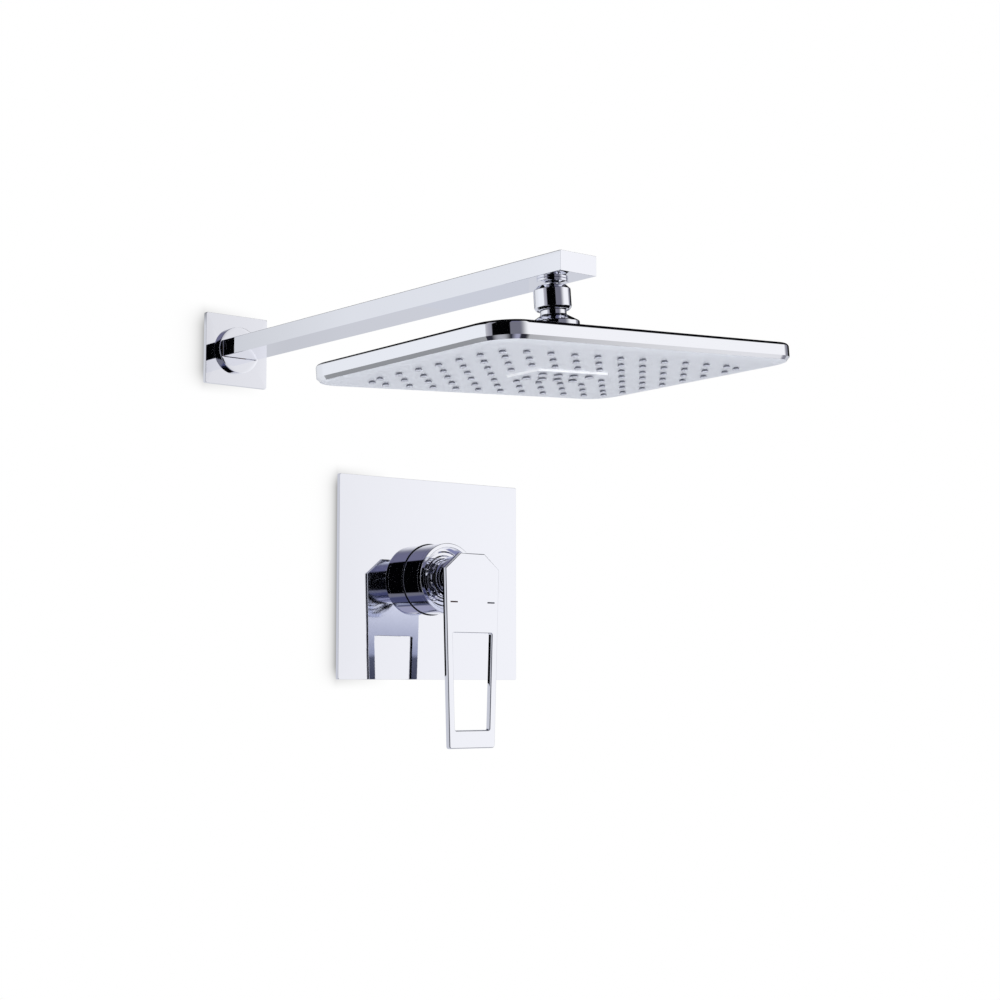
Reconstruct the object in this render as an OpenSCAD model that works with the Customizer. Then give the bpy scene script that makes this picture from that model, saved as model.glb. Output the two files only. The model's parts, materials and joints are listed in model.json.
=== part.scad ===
// Concealed single-lever shower mixer with a wall arm and an oblong rain head, in millimetres.
// The finished wall is the plane y = 0, the room is on the -Y side and the wall's inside on the +Y side.
// The origin is where the arm's threaded tail meets the wall. +Z is up and +X is to the right.

/* [Wall places] */
// Distance of the mixer's centre to the right of the arm
mixer_right = 180; // [150:1:240]
// Distance of the mixer's centre below the arm
mixer_down = 162; // [150:1:400]

/* [Arm] */
// Distance from the wall to the arm's end face
arm_reach = 380; // [300:1:450]
// Width of the arm's flat bar
bar_w = 28; // [27:0.5:29]
// Height of the arm's flat bar
bar_h = 12; // [11.5:0.5:14]
// Wall thickness of the bar's tube
bar_wall = 2; // [1.5:0.1:2.5]
// Radius of the bar's long edges
bar_edge_r = 0.8; // [0.3:0.1:1.5]
// Distance from the arm's end face to the swivel's axis
swivel_inset = 23.2; // [18:0.2:40]
// Length of the arm's threaded tail inside the wall
tail_len = 20; // [14:1:30]
// Radius of the tail's half-inch pipe thread
tail_r = 10.4; // [10:0.05:10.5]
// Radius of the water way through the tail
tail_bore_r = 3.6; // [3:0.1:4]

/* [Arm flange] */
// Side of the square wall flange
flange_side = 52; // [46:1:70]
// Depth of the flange from the wall to its face
flange_t = 3; // [2.6:0.1:5]
// Diameter of the round boss on the flange
boss_d = 34; // [34:0.5:44]
// Height of the boss on the flange's face
boss_h = 4; // [3.5:0.1:8]
// Sheet thickness of the flange and the trim plate
sheet = 1.4; // [1:0.1:1.8]
// Thickness of the foam seals behind the flange and the trim plate
foam_t = 1.4; // [1:0.1:1.5]
// Width of the foam seals
foam_w = 5; // [3:0.5:8]

/* [Swivel joint] */
// Radius of the ball
ball_r = 8; // [7.8:0.1:8.1]
// Depth of the ball's centre below the arm
ball_drop = 12; // [12:0.2:14]
// Radius of the stud's ring against the arm
ring_r = 9.4; // [8.6:0.1:11]
// Thickness of the stud's ring
ring_t = 1.8; // [1.2:0.1:2]
// Radius of the neck between the ring and the ball
neck_r = 4.1; // [3.8:0.1:4.2]
// Radius of the water way through the ball
ball_bore_r = 2.6; // [2:0.1:2.8]
// Radius of the stud's thread inside the arm
stud_r = 6; // [5:0.1:7]
// Depth of the stud's thread inside the arm
stud_len = 8.5; // [7:0.1:9]
// Outside radius of the swivel nut
nut_r = 11.1; // [11.1:0.1:13]
// Depth of the nut's top face below the arm
nut_top = 4; // [4:0.1:4.4]
// Length of the nut
nut_len = 14.5; // [13:0.1:15]
// Radius of the nut's threaded bore
nut_thread_r = 9.9; // [9.7:0.05:10]
// Thickness of the plastic seat under the ball
seat_t = 0.9; // [0.7:0.1:1]

/* [Head] */
// Width of the head along the wall
head_w = 245; // [200:1:300]
// Depth of the head away from the wall
head_d = 172.5; // [150:0.5:240]
// Radius of the head's corners, seen from below
head_corner = 20.5; // [14:0.5:30]
// Height of the head's rim
rim_h = 8.2; // [7.2:0.1:12]
// Wall thickness of the head's top shell
shell_wall = 1.8; // [1.4:0.1:2]
// Rise of the shell's shallow roof above its rim
roof_rise = 7; // [6.5:0.1:12]
// Distance from the arm's underside down to the rim's upper edge
head_drop = 45.3; // [44:0.1:60]
// Radius of the hub on top of the head
hub_r = 15.2; // [14:0.1:20]
// Fore and aft tilt of the head as it is set, in degrees
head_fore = -1.6; // [-8:0.1:8]
// Sideways tilt of the head as it is set, in degrees
head_side = -3.7; // [-8:0.1:8]
// Turn of the head about its own axis as it is set, in degrees
head_spin = 2.8; // [-10:0.1:10]

/* [Spray face] */
// Inset of the spray face from the rim
face_inset = 2.2; // [2:0.1:4]
// Thickness of the spray face
face_t = 2.7; // [2.2:0.1:4]
// Distance between neighbouring nozzles along the head's width
nozzle_pitch = 18.1; // [12:0.1:18.4]
// Distance between neighbouring nozzles along the head's depth
nozzle_row_pitch = 17.3; // [12:0.1:18]
// Number of nozzles along the head's width
nozzle_cols = 12; // [8:2:12]
// Number of nozzles along the head's depth
nozzle_rows = 8; // [6:2:8]
// Radius of a nozzle at its root
nozzle_r = 1.9; // [1.5:0.1:2.4]
// How far a nozzle stands out of the face
nozzle_out = 1.8; // [1:0.1:3]
// How far the four corner nozzles are drawn in towards the middle, each way
corner_pull = 4.5; // [0:0.1:6]
// Width of the raised panel in the middle
panel_w = 58; // [50:0.5:64]
// Depth of the raised panel in the middle
panel_d = 29.5; // [24:0.5:34]
// Height of the raised panel above the face
panel_out = 1; // [0.6:0.1:2]
// Distance between the panel's nozzles across the head's width
panel_pitch = 12.6; // [10:0.1:14]
// Distance between the panel's two rows of nozzles
panel_row = 14; // [10:0.1:16]
// Radius of a panel nozzle at its root
panel_nozzle_r = 2.7; // [2.2:0.1:3.2]

/* [Trim plate] */
// Width of the trim plate
plate_w = 175; // [150:1:200]
// Height of the trim plate
plate_h = 156.5; // [140:0.5:200]
// Depth of the trim plate from the wall to its face
plate_t = 3; // [2.6:0.1:5]
// Radius of the plates' corners
plate_corner = 1.2; // [0.5:0.1:4]

/* [Sleeve] */
// Outside radius of the sleeve
sleeve_r = 27.5; // [27.4:0.1:32]
// Length of the sleeve and its bezel in front of the trim plate
sleeve_out = 23; // [22:0.5:32]
// Wall thickness of the sleeve
sleeve_wall = 1.5; // [1.2:0.1:1.8]
// How far the sleeve reaches behind the wall's face
sleeve_in = 8; // [6:0.5:12]
// Length of the bezel ring
bezel_len = 4; // [3:0.1:5]
// Inside radius of the bezel ring
bezel_inner_r = 24.3; // [24:0.1:25]
// Depth of the recess inside the bezel
recess = 5.5; // [5:0.1:5.8]

/* [Handle] */
// Gap between the bezel's front and the back of the handle
handle_gap = 26; // [22:0.5:32]
// Thickness of the handle's plate
handle_t = 4; // [3.5:0.1:6]
// Height of the handle above the mixer's axis
handle_up = 18.2; // [17.5:0.1:26]
// Length of the handle below the mixer's axis
handle_down = 130.5; // [110:0.5:170]
// Width of the handle at its upper end
handle_w = 53; // [46:0.5:60]
// Width of the handle at its lower end
handle_end_w = 44.5; // [36:0.5:60]
// Width of the cut corners at the top
cut_corner_w = 14.7; // [6:0.1:18]
// Height of the cut corners at the top
cut_corner_h = 12; // [6:0.1:20]
// Radius of the handle's two lower corners
handle_corner = 2; // [0.5:0.1:6]
// Distance from the mixer's axis down to the finger opening
opening_top = 43.2; // [34:0.1:60]
// Width of the handle's solid lower end under the opening
opening_end = 14; // [8:0.1:24]
// Width of the handle's two side bars
side_bar = 6.2; // [5:0.1:9]
// Radius of the finger opening's corners
opening_corner = 1; // [0.4:0.1:5]
// Radius of the hub behind the handle
handle_hub_r = 17; // [16:0.1:17.2]
// Gap between the bezel's front and the back of the hub
hub_gap = 5; // [4:0.1:6]
// Length of the hot and cold marks
mark_len = 7; // [4:0.1:8]
// Width of the hot and cold marks
mark_w = 1.1; // [0.8:0.1:2]
// Distance of each mark from the handle's middle
mark_side = 18; // [12:0.1:20]
// Distance of the marks below the mixer's axis
mark_down = 19.5; // [10:0.1:26]
// Depth of the marks' pockets
mark_deep = 0.5; // [0.3:0.1:1]
// Swing of the lever from closed to fully open, in degrees
lift = 22; // [14:1:22]

/* [Cartridge] */
// Outside radius of the cartridge
cart_r = 17.4; // [17.4:0.1:18]
// Radius of the cartridge's narrower front
cart_front_r = 15.4; // [15.4:0.1:15.6]
// Inside radius of the cartridge's housing
cart_bore_r = 13.9; // [13.9:0.05:14.1]
// Radius of the lever's round stem
stem_r = 4; // [3.6:0.1:4.1]
// Width of the stem's square end
stem_square = 7; // [6:0.1:7.2]
// Radius of the pin that the lever tilts on
pin_r = 1.5; // [1.2:0.1:1.8]
// Radius of the stem's small drive ball
drive_ball_r = 2.2; // [2:0.1:2.2]
// Thickness of the fixed ceramic disc
fixed_disc_t = 4; // [3:0.1:5]
// Thickness of the moving ceramic disc
moving_disc_t = 3.5; // [3:0.1:3.5]
// Radius of the moving ceramic disc
moving_disc_r = 10.8; // [10.2:0.1:11]
// Radius of the mixing hollow in the moving disc
mix_hollow_r = 4.9; // [4.6:0.1:4.9]
// Radius of the hot and cold ports
inlet_port_r = 3; // [2.8:0.1:3]
// Radius of the outlet port
outlet_port_r = 3.8; // [3.4:0.1:4]
// Thickness of the cartridge's base
cart_base_t = 6.2; // [5:0.1:8]

/* [Valve body] */
// Radius of the valve body's round core
core_r = 30; // [28:0.5:36]
// Distance from the wall's face to the back of the fixing plate
body_deep = 60; // [60:0.5:80]
// Side of the square fixing plate
fixing_side = 104; // [98:1:130]
// Thickness of the fixing plate
fixing_t = 4; // [3:0.5:6]
// Distance between neighbouring fixing holes
fixing_pitch = 84; // [76:1:90]
// Radius of a fixing hole
fixing_hole_r = 3; // [2:0.1:4]
// Distance from the valve's centre to the end of each pipe socket
socket_reach = 58; // [50:1:75]
// Outside radius of each pipe socket
socket_r = 14; // [13:0.5:15]
// Radius of the sockets' half-inch pipe thread, at its crests
socket_thread_r = 9.3; // [9:0.05:9.6]
// Depth of the thread in each socket
socket_depth = 15; // [12:0.5:18]

/* [Hidden] */
$fn = 96;

// Clearances, each on one side
run_fit = 0.06;     // a turning fit
slide_fit = 0.3;    // pieces that pass each other freely
seat_fit = 0.15;    // pieces that are put together once
eps = 0.01;         // overshoot of a cut past its face

// Colours of the finishes
chrome = [0.86, 0.87, 0.90];
brass = [0.80, 0.66, 0.38];
rubber = [0.12, 0.12, 0.13];
foam = [0.30, 0.30, 0.31];
plastic = [0.90, 0.90, 0.88];
dark_plastic = [0.16, 0.16, 0.17];
satin = [0.72, 0.73, 0.76];
silicone = [0.78, 0.79, 0.81];
ceramic = [0.95, 0.93, 0.88];
steel = [0.66, 0.67, 0.69];
red = [0.45, 0.10, 0.10];
blue = [0.10, 0.16, 0.40];

// Arm, flange and swivel
root_y = -(flange_t + boss_h - sheet);         // where the bar starts, against the boss
collar_r = boss_d / 2 - sheet - slide_fit - 1;
collar_y = -1;                                 // back of the bar's soldered collar
spigot_r = 4.6;
spigot_len = 9;
spigot_room = 4;                               // the bore goes on past the spigot's end
swivel_y = -(arm_reach - swivel_inset);
under_z = -bar_h / 2;                          // the bar's underside
bush_r = stud_r + 3;
water_window = 6;                              // width of the bush's water window
cord_r = 0.55;                                 // of the small sealing rings
stud_seal_r = stud_r + 1.4;                    // middle radius of the stud's sealing ring
stud_groove = 2 * cord_r;                      // depth of its groove
ball_z = under_z - ball_drop;

// Head, in its own frame: z = 0 is the rim's upper edge
ball_up = head_drop - ball_drop;               // the ball's centre above the rim's upper edge
stub_r = nut_thread_r - run_fit;
stub_top = ball_up - 0.8;
nut_foot = head_drop - nut_top - nut_len;      // the nut's lower face
stub_neck_r = 7.8;
pocket_r = ball_r + run_fit + seat_t + run_fit;
collar_top = nut_foot - 5.3;
collar_bevel = 3.2;
strainer_z = collar_top - 1.5;                 // the strainer's seat in the hub
washer_t = 1;
hub_foot = roof_rise + washer_t;
hub_tail_r = 8;
hub_tail_foot = -0.5;
hub_bore_r = 4.4;
hub_seal_r = hub_tail_r - 1;                   // middle radius of the sealing ring under the tail
socket_len = 3;                                // of the cover's socket above the cover
socket_wall = 3;                               // of the cover's socket for the tail
strainer_r = 5.5;
strainer_t = 1.2;
roof_w = head_w * 0.62;                        // flat top of the shallow roof
roof_d = head_d * 0.55;
backnut_t = 3.4;
backnut_r = 13;                                // across the corners, halved
chamber_top = -shell_wall - 0.1;
chamber_skin = 1.8;
chamber_gap = 5.5;                             // between the shell's wall and the cover
chamber_w = head_w - 2 * (shell_wall + chamber_gap);
chamber_d = head_d - 2 * (shell_wall + chamber_gap);
chamber_corner = head_corner - shell_wall - 5;
chamber_rim = 5;                               // width of the cover's clamping edge
mat_t = 1.8;
nozzle_taper = 0.6;                            // from a nozzle's root radius to its tip
mat_top = -rim_h + mat_t;
tray_w = chamber_w - 2 * chamber_rim;          // water space between the cover and the mat
tray_d = chamber_d - 2 * chamber_rim;
face_z = -rim_h - face_t;                      // the spray face's lower side
face_w = head_w - 2 * face_inset;
face_d = head_d - 2 * face_inset;
face_screw_r = 1.15;
face_screw_head_r = 2.2;
face_screw_head_t = 1.3;                       // sunk into the cover's skin
face_screw_bite = 1.6;                         // how deep it goes into the spray face
face_screw_edge = 2.9;                         // from the cover's edge to the screw's axis
screw_x = chamber_w / 2 - face_screw_edge;
screw_y = chamber_d / 2 - face_screw_edge;

// Sleeve and recess: y grows into the wall
plate_y = -plate_t;
bezel_y = plate_y - sleeve_out;                // the bezel's front
sleeve_bore_r = sleeve_r - sleeve_wall;
cover_y = bezel_y + recess;                    // the recess cover's front
cover_t = 1.5;
cover_hole_r = cart_front_r + slide_fit;

// Cartridge, placed from the recess cover so that the lever's pivot follows the bezel
pivot_in = 11;                                 // from the bezel's front to the lever's pivot
lip_in = 3.6;                                  // from the bezel's front to the cartridge's front
front_len = 14.4;                              // length of the cartridge's narrower front
pivot_y = bezel_y + pivot_in;
lip_y = bezel_y + lip_in;                      // front of the cartridge's housing
lip_t = 2.2;
lip_hole_r = 10.5;
shoulder_y = lip_y + front_len;
drive_arm = 11.4;                              // from the pivot to the centre of the drive ball
ball_y = pivot_y + drive_arm;
driver_t = 4.8;
driver_y = ball_y - driver_t / 2;              // front of the disc driver
disc_y = driver_y + driver_t;                  // front of the moving disc
seat_y = disc_y + moving_disc_t;               // front of the fixed disc
base_y = seat_y + fixed_disc_t;                // front of the cartridge's base
across = 2 * cart_r;                           // length of cuts right across the cartridge
base_gap = 0.6;                                // behind the base, bridged by its seals
pocket_y = base_y + cart_base_t + base_gap;    // floor of the valve body's pocket
ring_wall = 1.3;                               // width of the base's sealing rings
ring_deep = 1.2;                               // depth of their seats
disc_travel = drive_arm * sin(lift);
disc_rest_z = disc_travel / 2;
port_side = 6.1;                               // hot and cold ports, left and right
port_low = -5.1;
port_high = 5.3;                               // the outlet port
hollow_roof = 1.4;                             // ceramic left in front of the mixing hollow
flat_half = 10.3;                              // half width across the driver's flats
rail_in = 0.3;                                 // from the driver's flats to the rotor's rails
rail_t = 2;
rail_up = 9.2;
slot_half = stem_r + slide_fit;
slot_up = (pivot_y - lip_y) * tan(lift) + stem_r / cos(lift) + slide_fit;
slot_down = (driver_y - pivot_y) * tan(lift) + stem_r / cos(lift) + slide_fit;

// Handle
handle_y = bezel_y - handle_gap;               // back of the handle's plate
hub_y = bezel_y - hub_gap;                     // back of the hub
socket_y = bezel_y - 1;                        // back of the hub's stem socket
hub_socket_r = 8.5;
stem_end_in = 6;                               // from the handle's plate to the stem's end
grub_in = 11;                                  // from the handle's plate to the grub screw's axis
stem_end_y = handle_y + stem_end_in;
grub_y = handle_y + grub_in;
grub_r = 2.5;
grub_len = 8;
grub_key_r = 1.45;
cap_len = 2.2;
hub_screw_x = 11.2;
hub_screw_r = 2;
hub_screw_head_r = 3.6;
hub_screw_head_t = 2.8;
hub_screw_head_in = 4;                         // depth of the heads' counterbore in the hub's back
hub_screw_skin = 1.2;                          // left of the handle's plate in front of their threads
hub_screw_key_r = 1.5;
opening_bottom = handle_down - opening_end;

// Valve body
neck_y = cover_y + cover_t;                    // front of the valve body's neck
neck_gap = 0.6;                                // between the neck and the sleeve
body_neck_r = sleeve_bore_r - neck_gap;
sleeve_seal_r = 1.05;                          // of the sleeve seal's cord
nut_ring_r = 20.8;
inlet_in = 15;                                 // from the pocket's floor to the inlets' axis
outlet_in = 12.5;                              // from the inlets' axis to the outlets' axis
inlet_y = pocket_y + inlet_in;
outlet_y = inlet_y + outlet_in;
passage_r = 5;
core_in = 8;                                   // from the pocket's floor to the thicker core
core_y = pocket_y + core_in;
seal_back = 3.6;                               // from the sleeve's end to its seal
sleeve_seal_y = sleeve_in - seal_back;
fixing_y = body_deep - fixing_t;               // front of the fixing plate
fixing_corner = 8;
sink_deep = fixing_t * 0.6;                    // depth of the plate's countersinks
plate_screw_pitch = 34;                        // between the screws from the plate into the body
plate_screw_r = 2.5;
plate_screw_len = 13;

// Shapes shared by the sub-parts

// Rectangle with rounded corners
module round_rect(w, h, r) {
    square([w - 2 * r, h], center = true);
    square([w, h - 2 * r], center = true);
    for (x = [-1, 1], y = [-1, 1])
        translate([x * (w / 2 - r), y * (h / 2 - r)]) circle(r);
}

// Extrudes an outline drawn in X and Z from y = y0 to y = y1
module along_y(y0, y1) {
    translate([0, y1, 0]) rotate([90, 0, 0]) linear_extrude(y1 - y0) children();
}

// Round bar along Y
module rod_y(r, y0, y1, x = 0, z = 0) {
    translate([x, y1, z]) rotate([90, 0, 0]) cylinder(r = r, h = y1 - y0);
}

// Ring along Y
module ring_y(r_out, r_in, y0, y1) {
    difference() {
        rod_y(r_out, y0, y1);
        rod_y(r_in, y0 - eps, y1 + eps);
    }
}

// Turns a profile, drawn as [radius, distance into the wall], about the mixer's axis
module turned_y(profile) {
    rotate([-90, 0, 0]) rotate_extrude() polygon(profile);
}

// Places children at the mixer's centre on the wall
module at_mixer() {
    translate([mixer_right, 0, -mixer_down]) children();
}

// Places children on the swivel's axis, with z = 0 at the ball's centre
module at_ball() {
    translate([0, swivel_y, ball_z]) children();
}

// Places children in the head's own frame, tilted and turned about the ball
module at_head() {
    at_ball() rotate([head_fore, head_side, head_spin]) translate([0, 0, -ball_up]) children();
}

// Centre of one nozzle; the four corner ones are drawn in along both directions
function nozzle_x(i, j) =
    let (edge = (i == 0 || i == nozzle_cols - 1) && (j == 0 || j == nozzle_rows - 1),
         x = (i - (nozzle_cols - 1) / 2) * nozzle_pitch)
    x - (edge ? sign(x) * corner_pull : 0);
function nozzle_y(i, j) =
    let (edge = (i == 0 || i == nozzle_cols - 1) && (j == 0 || j == nozzle_rows - 1),
         y = (j - (nozzle_rows - 1) / 2) * nozzle_row_pitch)
    y - (edge ? sign(y) * corner_pull : 0);

// Every nozzle outside the middle panel, as [x, y]
spray = [for (i = [0 : nozzle_cols - 1], j = [0 : nozzle_rows - 1])
    let (x = nozzle_x(i, j), y = nozzle_y(i, j))
    if (abs(x) > panel_w / 2 + nozzle_r || abs(y) > panel_d / 2 + nozzle_r) [x, y]];

// The panel's own nozzles: four across and two deep
panel_spray = [for (i = [-1.5 : 1.5], j = [-0.5, 0.5]) [i * panel_pitch, j * panel_row]];

// Arm

// Flat bar of brass tube with a soldered root collar and a threaded bush for the swivel
module arm_bar() {
    color(chrome) difference() {
        union() {
            difference() {
                along_y(-arm_reach, root_y) round_rect(bar_w, bar_h, bar_edge_r);
                along_y(-arm_reach + bar_wall, root_y - spigot_len - spigot_room + 1)
                    square([bar_w - 2 * bar_wall, bar_h - 2 * bar_wall], center = true);
            }
            rod_y(collar_r, root_y, collar_y);
            translate([0, swivel_y, under_z + bar_wall - eps])
                cylinder(r = bush_r, h = bar_h - 2 * bar_wall + 2 * eps);
        }
        // bore for the tail's spigot, on into the bar's water way
        rod_y(spigot_r + seat_fit, root_y - spigot_len - spigot_room, collar_y + eps);
        // thread for the swivel's stud
        translate([0, swivel_y, under_z - eps]) cylinder(r = stud_r, h = stud_len + 0.5);
        // window that lets the water into the bush
        translate([-water_window / 2, swivel_y, under_z + bar_wall + 1])
            cube([water_window, bush_r + 2, bar_h - 2 * bar_wall - 2]);
    }
}

// Threaded tail: the pipe thread goes into the wall outlet and the spigot into the bar's root
module arm_tail() {
    color(brass) difference() {
        union() {
            rod_y(tail_r, collar_y, collar_y + tail_len);
            rod_y(spigot_r, collar_y - spigot_len - 2, collar_y + eps);
        }
        rod_y(tail_bore_r, collar_y - spigot_len - 3, collar_y + tail_len + eps);
    }
}

// Square dished flange with a round boss that the bar passes through
module arm_flange() {
    color(chrome) difference() {
        union() {
            along_y(-flange_t, 0) round_rect(flange_side, flange_side, plate_corner);
            rod_y(boss_d / 2, -flange_t - boss_h, -flange_t + eps);
        }
        along_y(-flange_t + sheet, eps)
            square(flange_side - 2 * sheet, center = true);
        rod_y(boss_d / 2 - sheet, -flange_t - boss_h + sheet, 0);
        along_y(-flange_t - boss_h - eps, 0)
            round_rect(bar_w + 2 * seat_fit, bar_h + 2 * seat_fit, bar_edge_r + seat_fit);
    }
}

// Foam frame between the flange and the wall
module flange_seal() {
    outer = flange_side - 2 * sheet - 2 * seat_fit;
    color(foam) along_y(-min(foam_t, flange_t - sheet), 0) difference() {
        square(outer, center = true);
        square(outer - 2 * foam_w, center = true);
    }
}

// Swivel

// Stud with the swivel's ball, its neck and the ring that closes on the arm
module ball_stud() {
    color(chrome) at_ball() difference() {
        union() {
            sphere(ball_r);
            cylinder(r = neck_r, h = ball_drop - eps);
            translate([0, 0, ball_drop - ring_t]) cylinder(r = ring_r, h = ring_t);
            translate([0, 0, ball_drop - eps]) cylinder(r = stud_r - seat_fit, h = stud_len);
        }
        translate([0, 0, -ball_r - 1])
            cylinder(r = ball_bore_r, h = ball_drop + ball_r + stud_len + 2);
        // groove for the seal in the ring's upper side
        translate([0, 0, ball_drop - stud_groove]) difference() {
            cylinder(r = stud_seal_r + cord_r + 0.35, h = stud_groove + eps);
            translate([0, 0, -eps]) cylinder(r = stud_seal_r - cord_r - 0.35, h = stud_groove + 3 * eps);
        }
    }
}

// Rubber ring in the groove of the stud's ring
module stud_seal() {
    color(rubber) at_ball() translate([0, 0, ball_drop - cord_r])
        rotate_extrude() translate([stud_seal_r, 0]) circle(cord_r, $fn = 32);
}

// Thin spherical seat that the ball turns in
module ball_seat() {
    seat_edge = 2.8;                           // the seat's upper edge, below the ball's centre
    color(plastic) at_ball() rotate([head_fore, head_side, 0]) difference() {
        sphere(ball_r + run_fit + seat_t);
        sphere(ball_r + run_fit);
        translate([0, 0, -seat_edge]) cylinder(r = 2 * ball_r, h = 2 * ball_r);
        translate([0, 0, -2 * ball_r]) cylinder(r = strainer_r - 0.4, h = 2 * ball_r);
    }
}

// Swivel nut with bevelled ends, which holds the ball down on its seat
module swivel_nut() {
    top = ball_drop - nut_top;                 // above the ball's centre
    foot = top - nut_len;
    top_bevel = 3.5;
    foot_bevel = 1.5;
    mouth = 3;                                 // where the flared mouth starts
    color(chrome) at_ball() rotate([head_fore, head_side, head_spin]) difference() {
        rotate_extrude() polygon([
            [0, foot], [nut_r - foot_bevel, foot], [nut_r, foot + foot_bevel], [nut_r, top - top_bevel],
            [nut_r - top_bevel, top], [0, top]]);
        sphere(ball_r + run_fit);
        translate([0, 0, foot - eps]) cylinder(r = nut_thread_r, h = -foot);
        // flared mouth that leaves room for the neck when the head is tilted
        translate([0, 0, mouth]) cylinder(r1 = neck_r + 1.8, r2 = neck_r + 2.6, h = top - mouth + eps);
    }
}

// Head

// Turned hub: ball pocket, thread for the nut, bevelled collar and the tail that carries the head
module head_hub() {
    color(chrome) at_head() difference() {
        rotate_extrude() polygon([
            [0, hub_tail_foot], [hub_tail_r, hub_tail_foot], [hub_tail_r, hub_foot],
            [hub_r, hub_foot], [hub_r, collar_top - collar_bevel],
            [hub_r - collar_bevel, collar_top - 0.4], [stub_neck_r + 0.5, collar_top],
            [stub_neck_r, collar_top + 0.5], [stub_neck_r, nut_foot - 0.3], [stub_r, nut_foot + 0.6],
            [stub_r, stub_top], [0, stub_top]]);
        translate([0, 0, ball_up]) sphere(pocket_r);
        translate([0, 0, ball_up]) cylinder(r = pocket_r, h = 2);
        translate([0, 0, hub_tail_foot - eps]) cylinder(r = hub_bore_r, h = ball_up);
        translate([0, 0, strainer_z]) cylinder(r = strainer_r + seat_fit, h = ball_up - collar_top);
    }
}

// Small plate with holes that keeps grit out of the nozzles
module strainer() {
    hole_r = 1;
    color(steel) at_head() translate([0, 0, strainer_z]) difference() {
        cylinder(r = strainer_r, h = strainer_t);
        for (a = [0 : 60 : 300])
            rotate(a) translate([3 * hole_r, 0, -eps]) cylinder(r = hole_r, h = strainer_t + 2 * eps, $fn = 24);
        translate([0, 0, -eps]) cylinder(r = hole_r, h = strainer_t + 2 * eps, $fn = 24);
    }
}

// Rubber washer between the hub and the shell's roof
module hub_washer() {
    color(rubber) at_head() translate([0, 0, roof_rise]) difference() {
        cylinder(r = hub_r - 1, h = washer_t);
        translate([0, 0, -eps]) cylinder(r = hub_tail_r + seat_fit, h = washer_t + 2 * eps);
    }
}

// Outer form of the top shell, made smaller by cut on every side: rim and shallow roof
module shell_form(cut) {
    w = head_w - 2 * cut;
    d = head_d - 2 * cut;
    r = head_corner - cut;
    translate([0, 0, -rim_h - (cut > 0 ? eps : 0)])
        linear_extrude(rim_h - cut + (cut > 0 ? eps : 0)) round_rect(w, d, r);
    translate([0, 0, -cut]) hull() {
        linear_extrude(0.01) round_rect(w, d, r, $fn = 32);
        translate([0, 0, roof_rise - 0.01]) linear_extrude(0.01)
            round_rect(roof_w - 2 * cut, roof_d - 2 * cut, r, $fn = 32);
    }
}

// Top shell of the head, open below
module head_shell() {
    color(chrome) at_head() difference() {
        shell_form(0);
        shell_form(shell_wall);
        translate([0, 0, -1]) cylinder(r = hub_tail_r + slide_fit, h = roof_rise + 2);
    }
}

// Flat nut on the hub's tail, which clamps the shell to the hub
module hub_backnut() {
    top = roof_rise - shell_wall;
    color(brass) at_head() translate([0, 0, top - backnut_t]) difference() {
        cylinder(r = backnut_r, h = backnut_t, $fn = 6);
        translate([0, 0, -eps]) cylinder(r = hub_tail_r + run_fit, h = backnut_t + 2 * eps);
    }
}

// Rubber ring that seals the hub's tail in the cover's socket
module inlet_seal() {
    color(rubber) at_head() translate([0, 0, hub_tail_foot - cord_r])
        rotate_extrude() translate([hub_seal_r, 0]) circle(cord_r, $fn = 32);
}

// Plastic cover of the water space, with the socket for the hub's tail
module chamber_cover() {
    color(plastic) at_head() difference() {
        union() {
            translate([0, 0, mat_top]) linear_extrude(chamber_top - mat_top)
                round_rect(chamber_w, chamber_d, chamber_corner);
            translate([0, 0, chamber_top - eps]) cylinder(r = hub_tail_r + socket_wall, h = socket_len);
        }
        translate([0, 0, mat_top - eps]) linear_extrude(chamber_top - chamber_skin - mat_top)
            round_rect(tray_w, tray_d, chamber_corner - 2);
        // socket for the hub's tail, over its sealing ring, and the water way below it
        translate([0, 0, hub_tail_foot - 2 * cord_r])
            cylinder(r = hub_tail_r + seat_fit, h = socket_len + 2 * cord_r);
        translate([0, 0, mat_top]) cylinder(r = hub_bore_r, h = hub_tail_foot - mat_top);
        face_screw_holes(face_screw_r + 2 * seat_fit, mat_top - eps, chamber_top + eps);
        face_screw_holes(face_screw_head_r + seat_fit, chamber_top - face_screw_head_t, chamber_top + eps);
    }
}

// The eight screw places: four corners and the middle of each side
module face_screw_places() {
    for (p = [[-1, -0.9], [1, -0.9], [-1, 0.9], [1, 0.9], [0.35, -1], [-0.35, -1], [0.35, 1], [-0.35, 1]])
        translate([p.x * screw_x, p.y * screw_y]) children();
}

module face_screw_holes(r, z0, z1) {
    face_screw_places() translate([0, 0, z0]) cylinder(r = r, h = z1 - z0, $fn = 24);
}

// Silicone sheet with all the nozzles, squeezed between the cover and the spray face
module nozzle_mat() {
    color(silicone) at_head() difference() {
        union() {
            translate([0, 0, -rim_h]) linear_extrude(mat_t)
                round_rect(chamber_w, chamber_d, chamber_corner);
            for (p = spray) translate([p.x, p.y, face_z - nozzle_out])
                cylinder(r1 = nozzle_r - nozzle_taper, r2 = nozzle_r, h = face_t + nozzle_out + eps, $fn = 24);
            for (p = panel_spray) translate([p.x, p.y, face_z - panel_out - nozzle_out])
                cylinder(r1 = panel_nozzle_r - nozzle_taper, r2 = panel_nozzle_r,
                         h = face_t + panel_out + nozzle_out + eps, $fn = 24);
        }
        face_screw_holes(face_screw_r + 2 * seat_fit, -rim_h - eps, mat_top + eps);
    }
}

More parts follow.
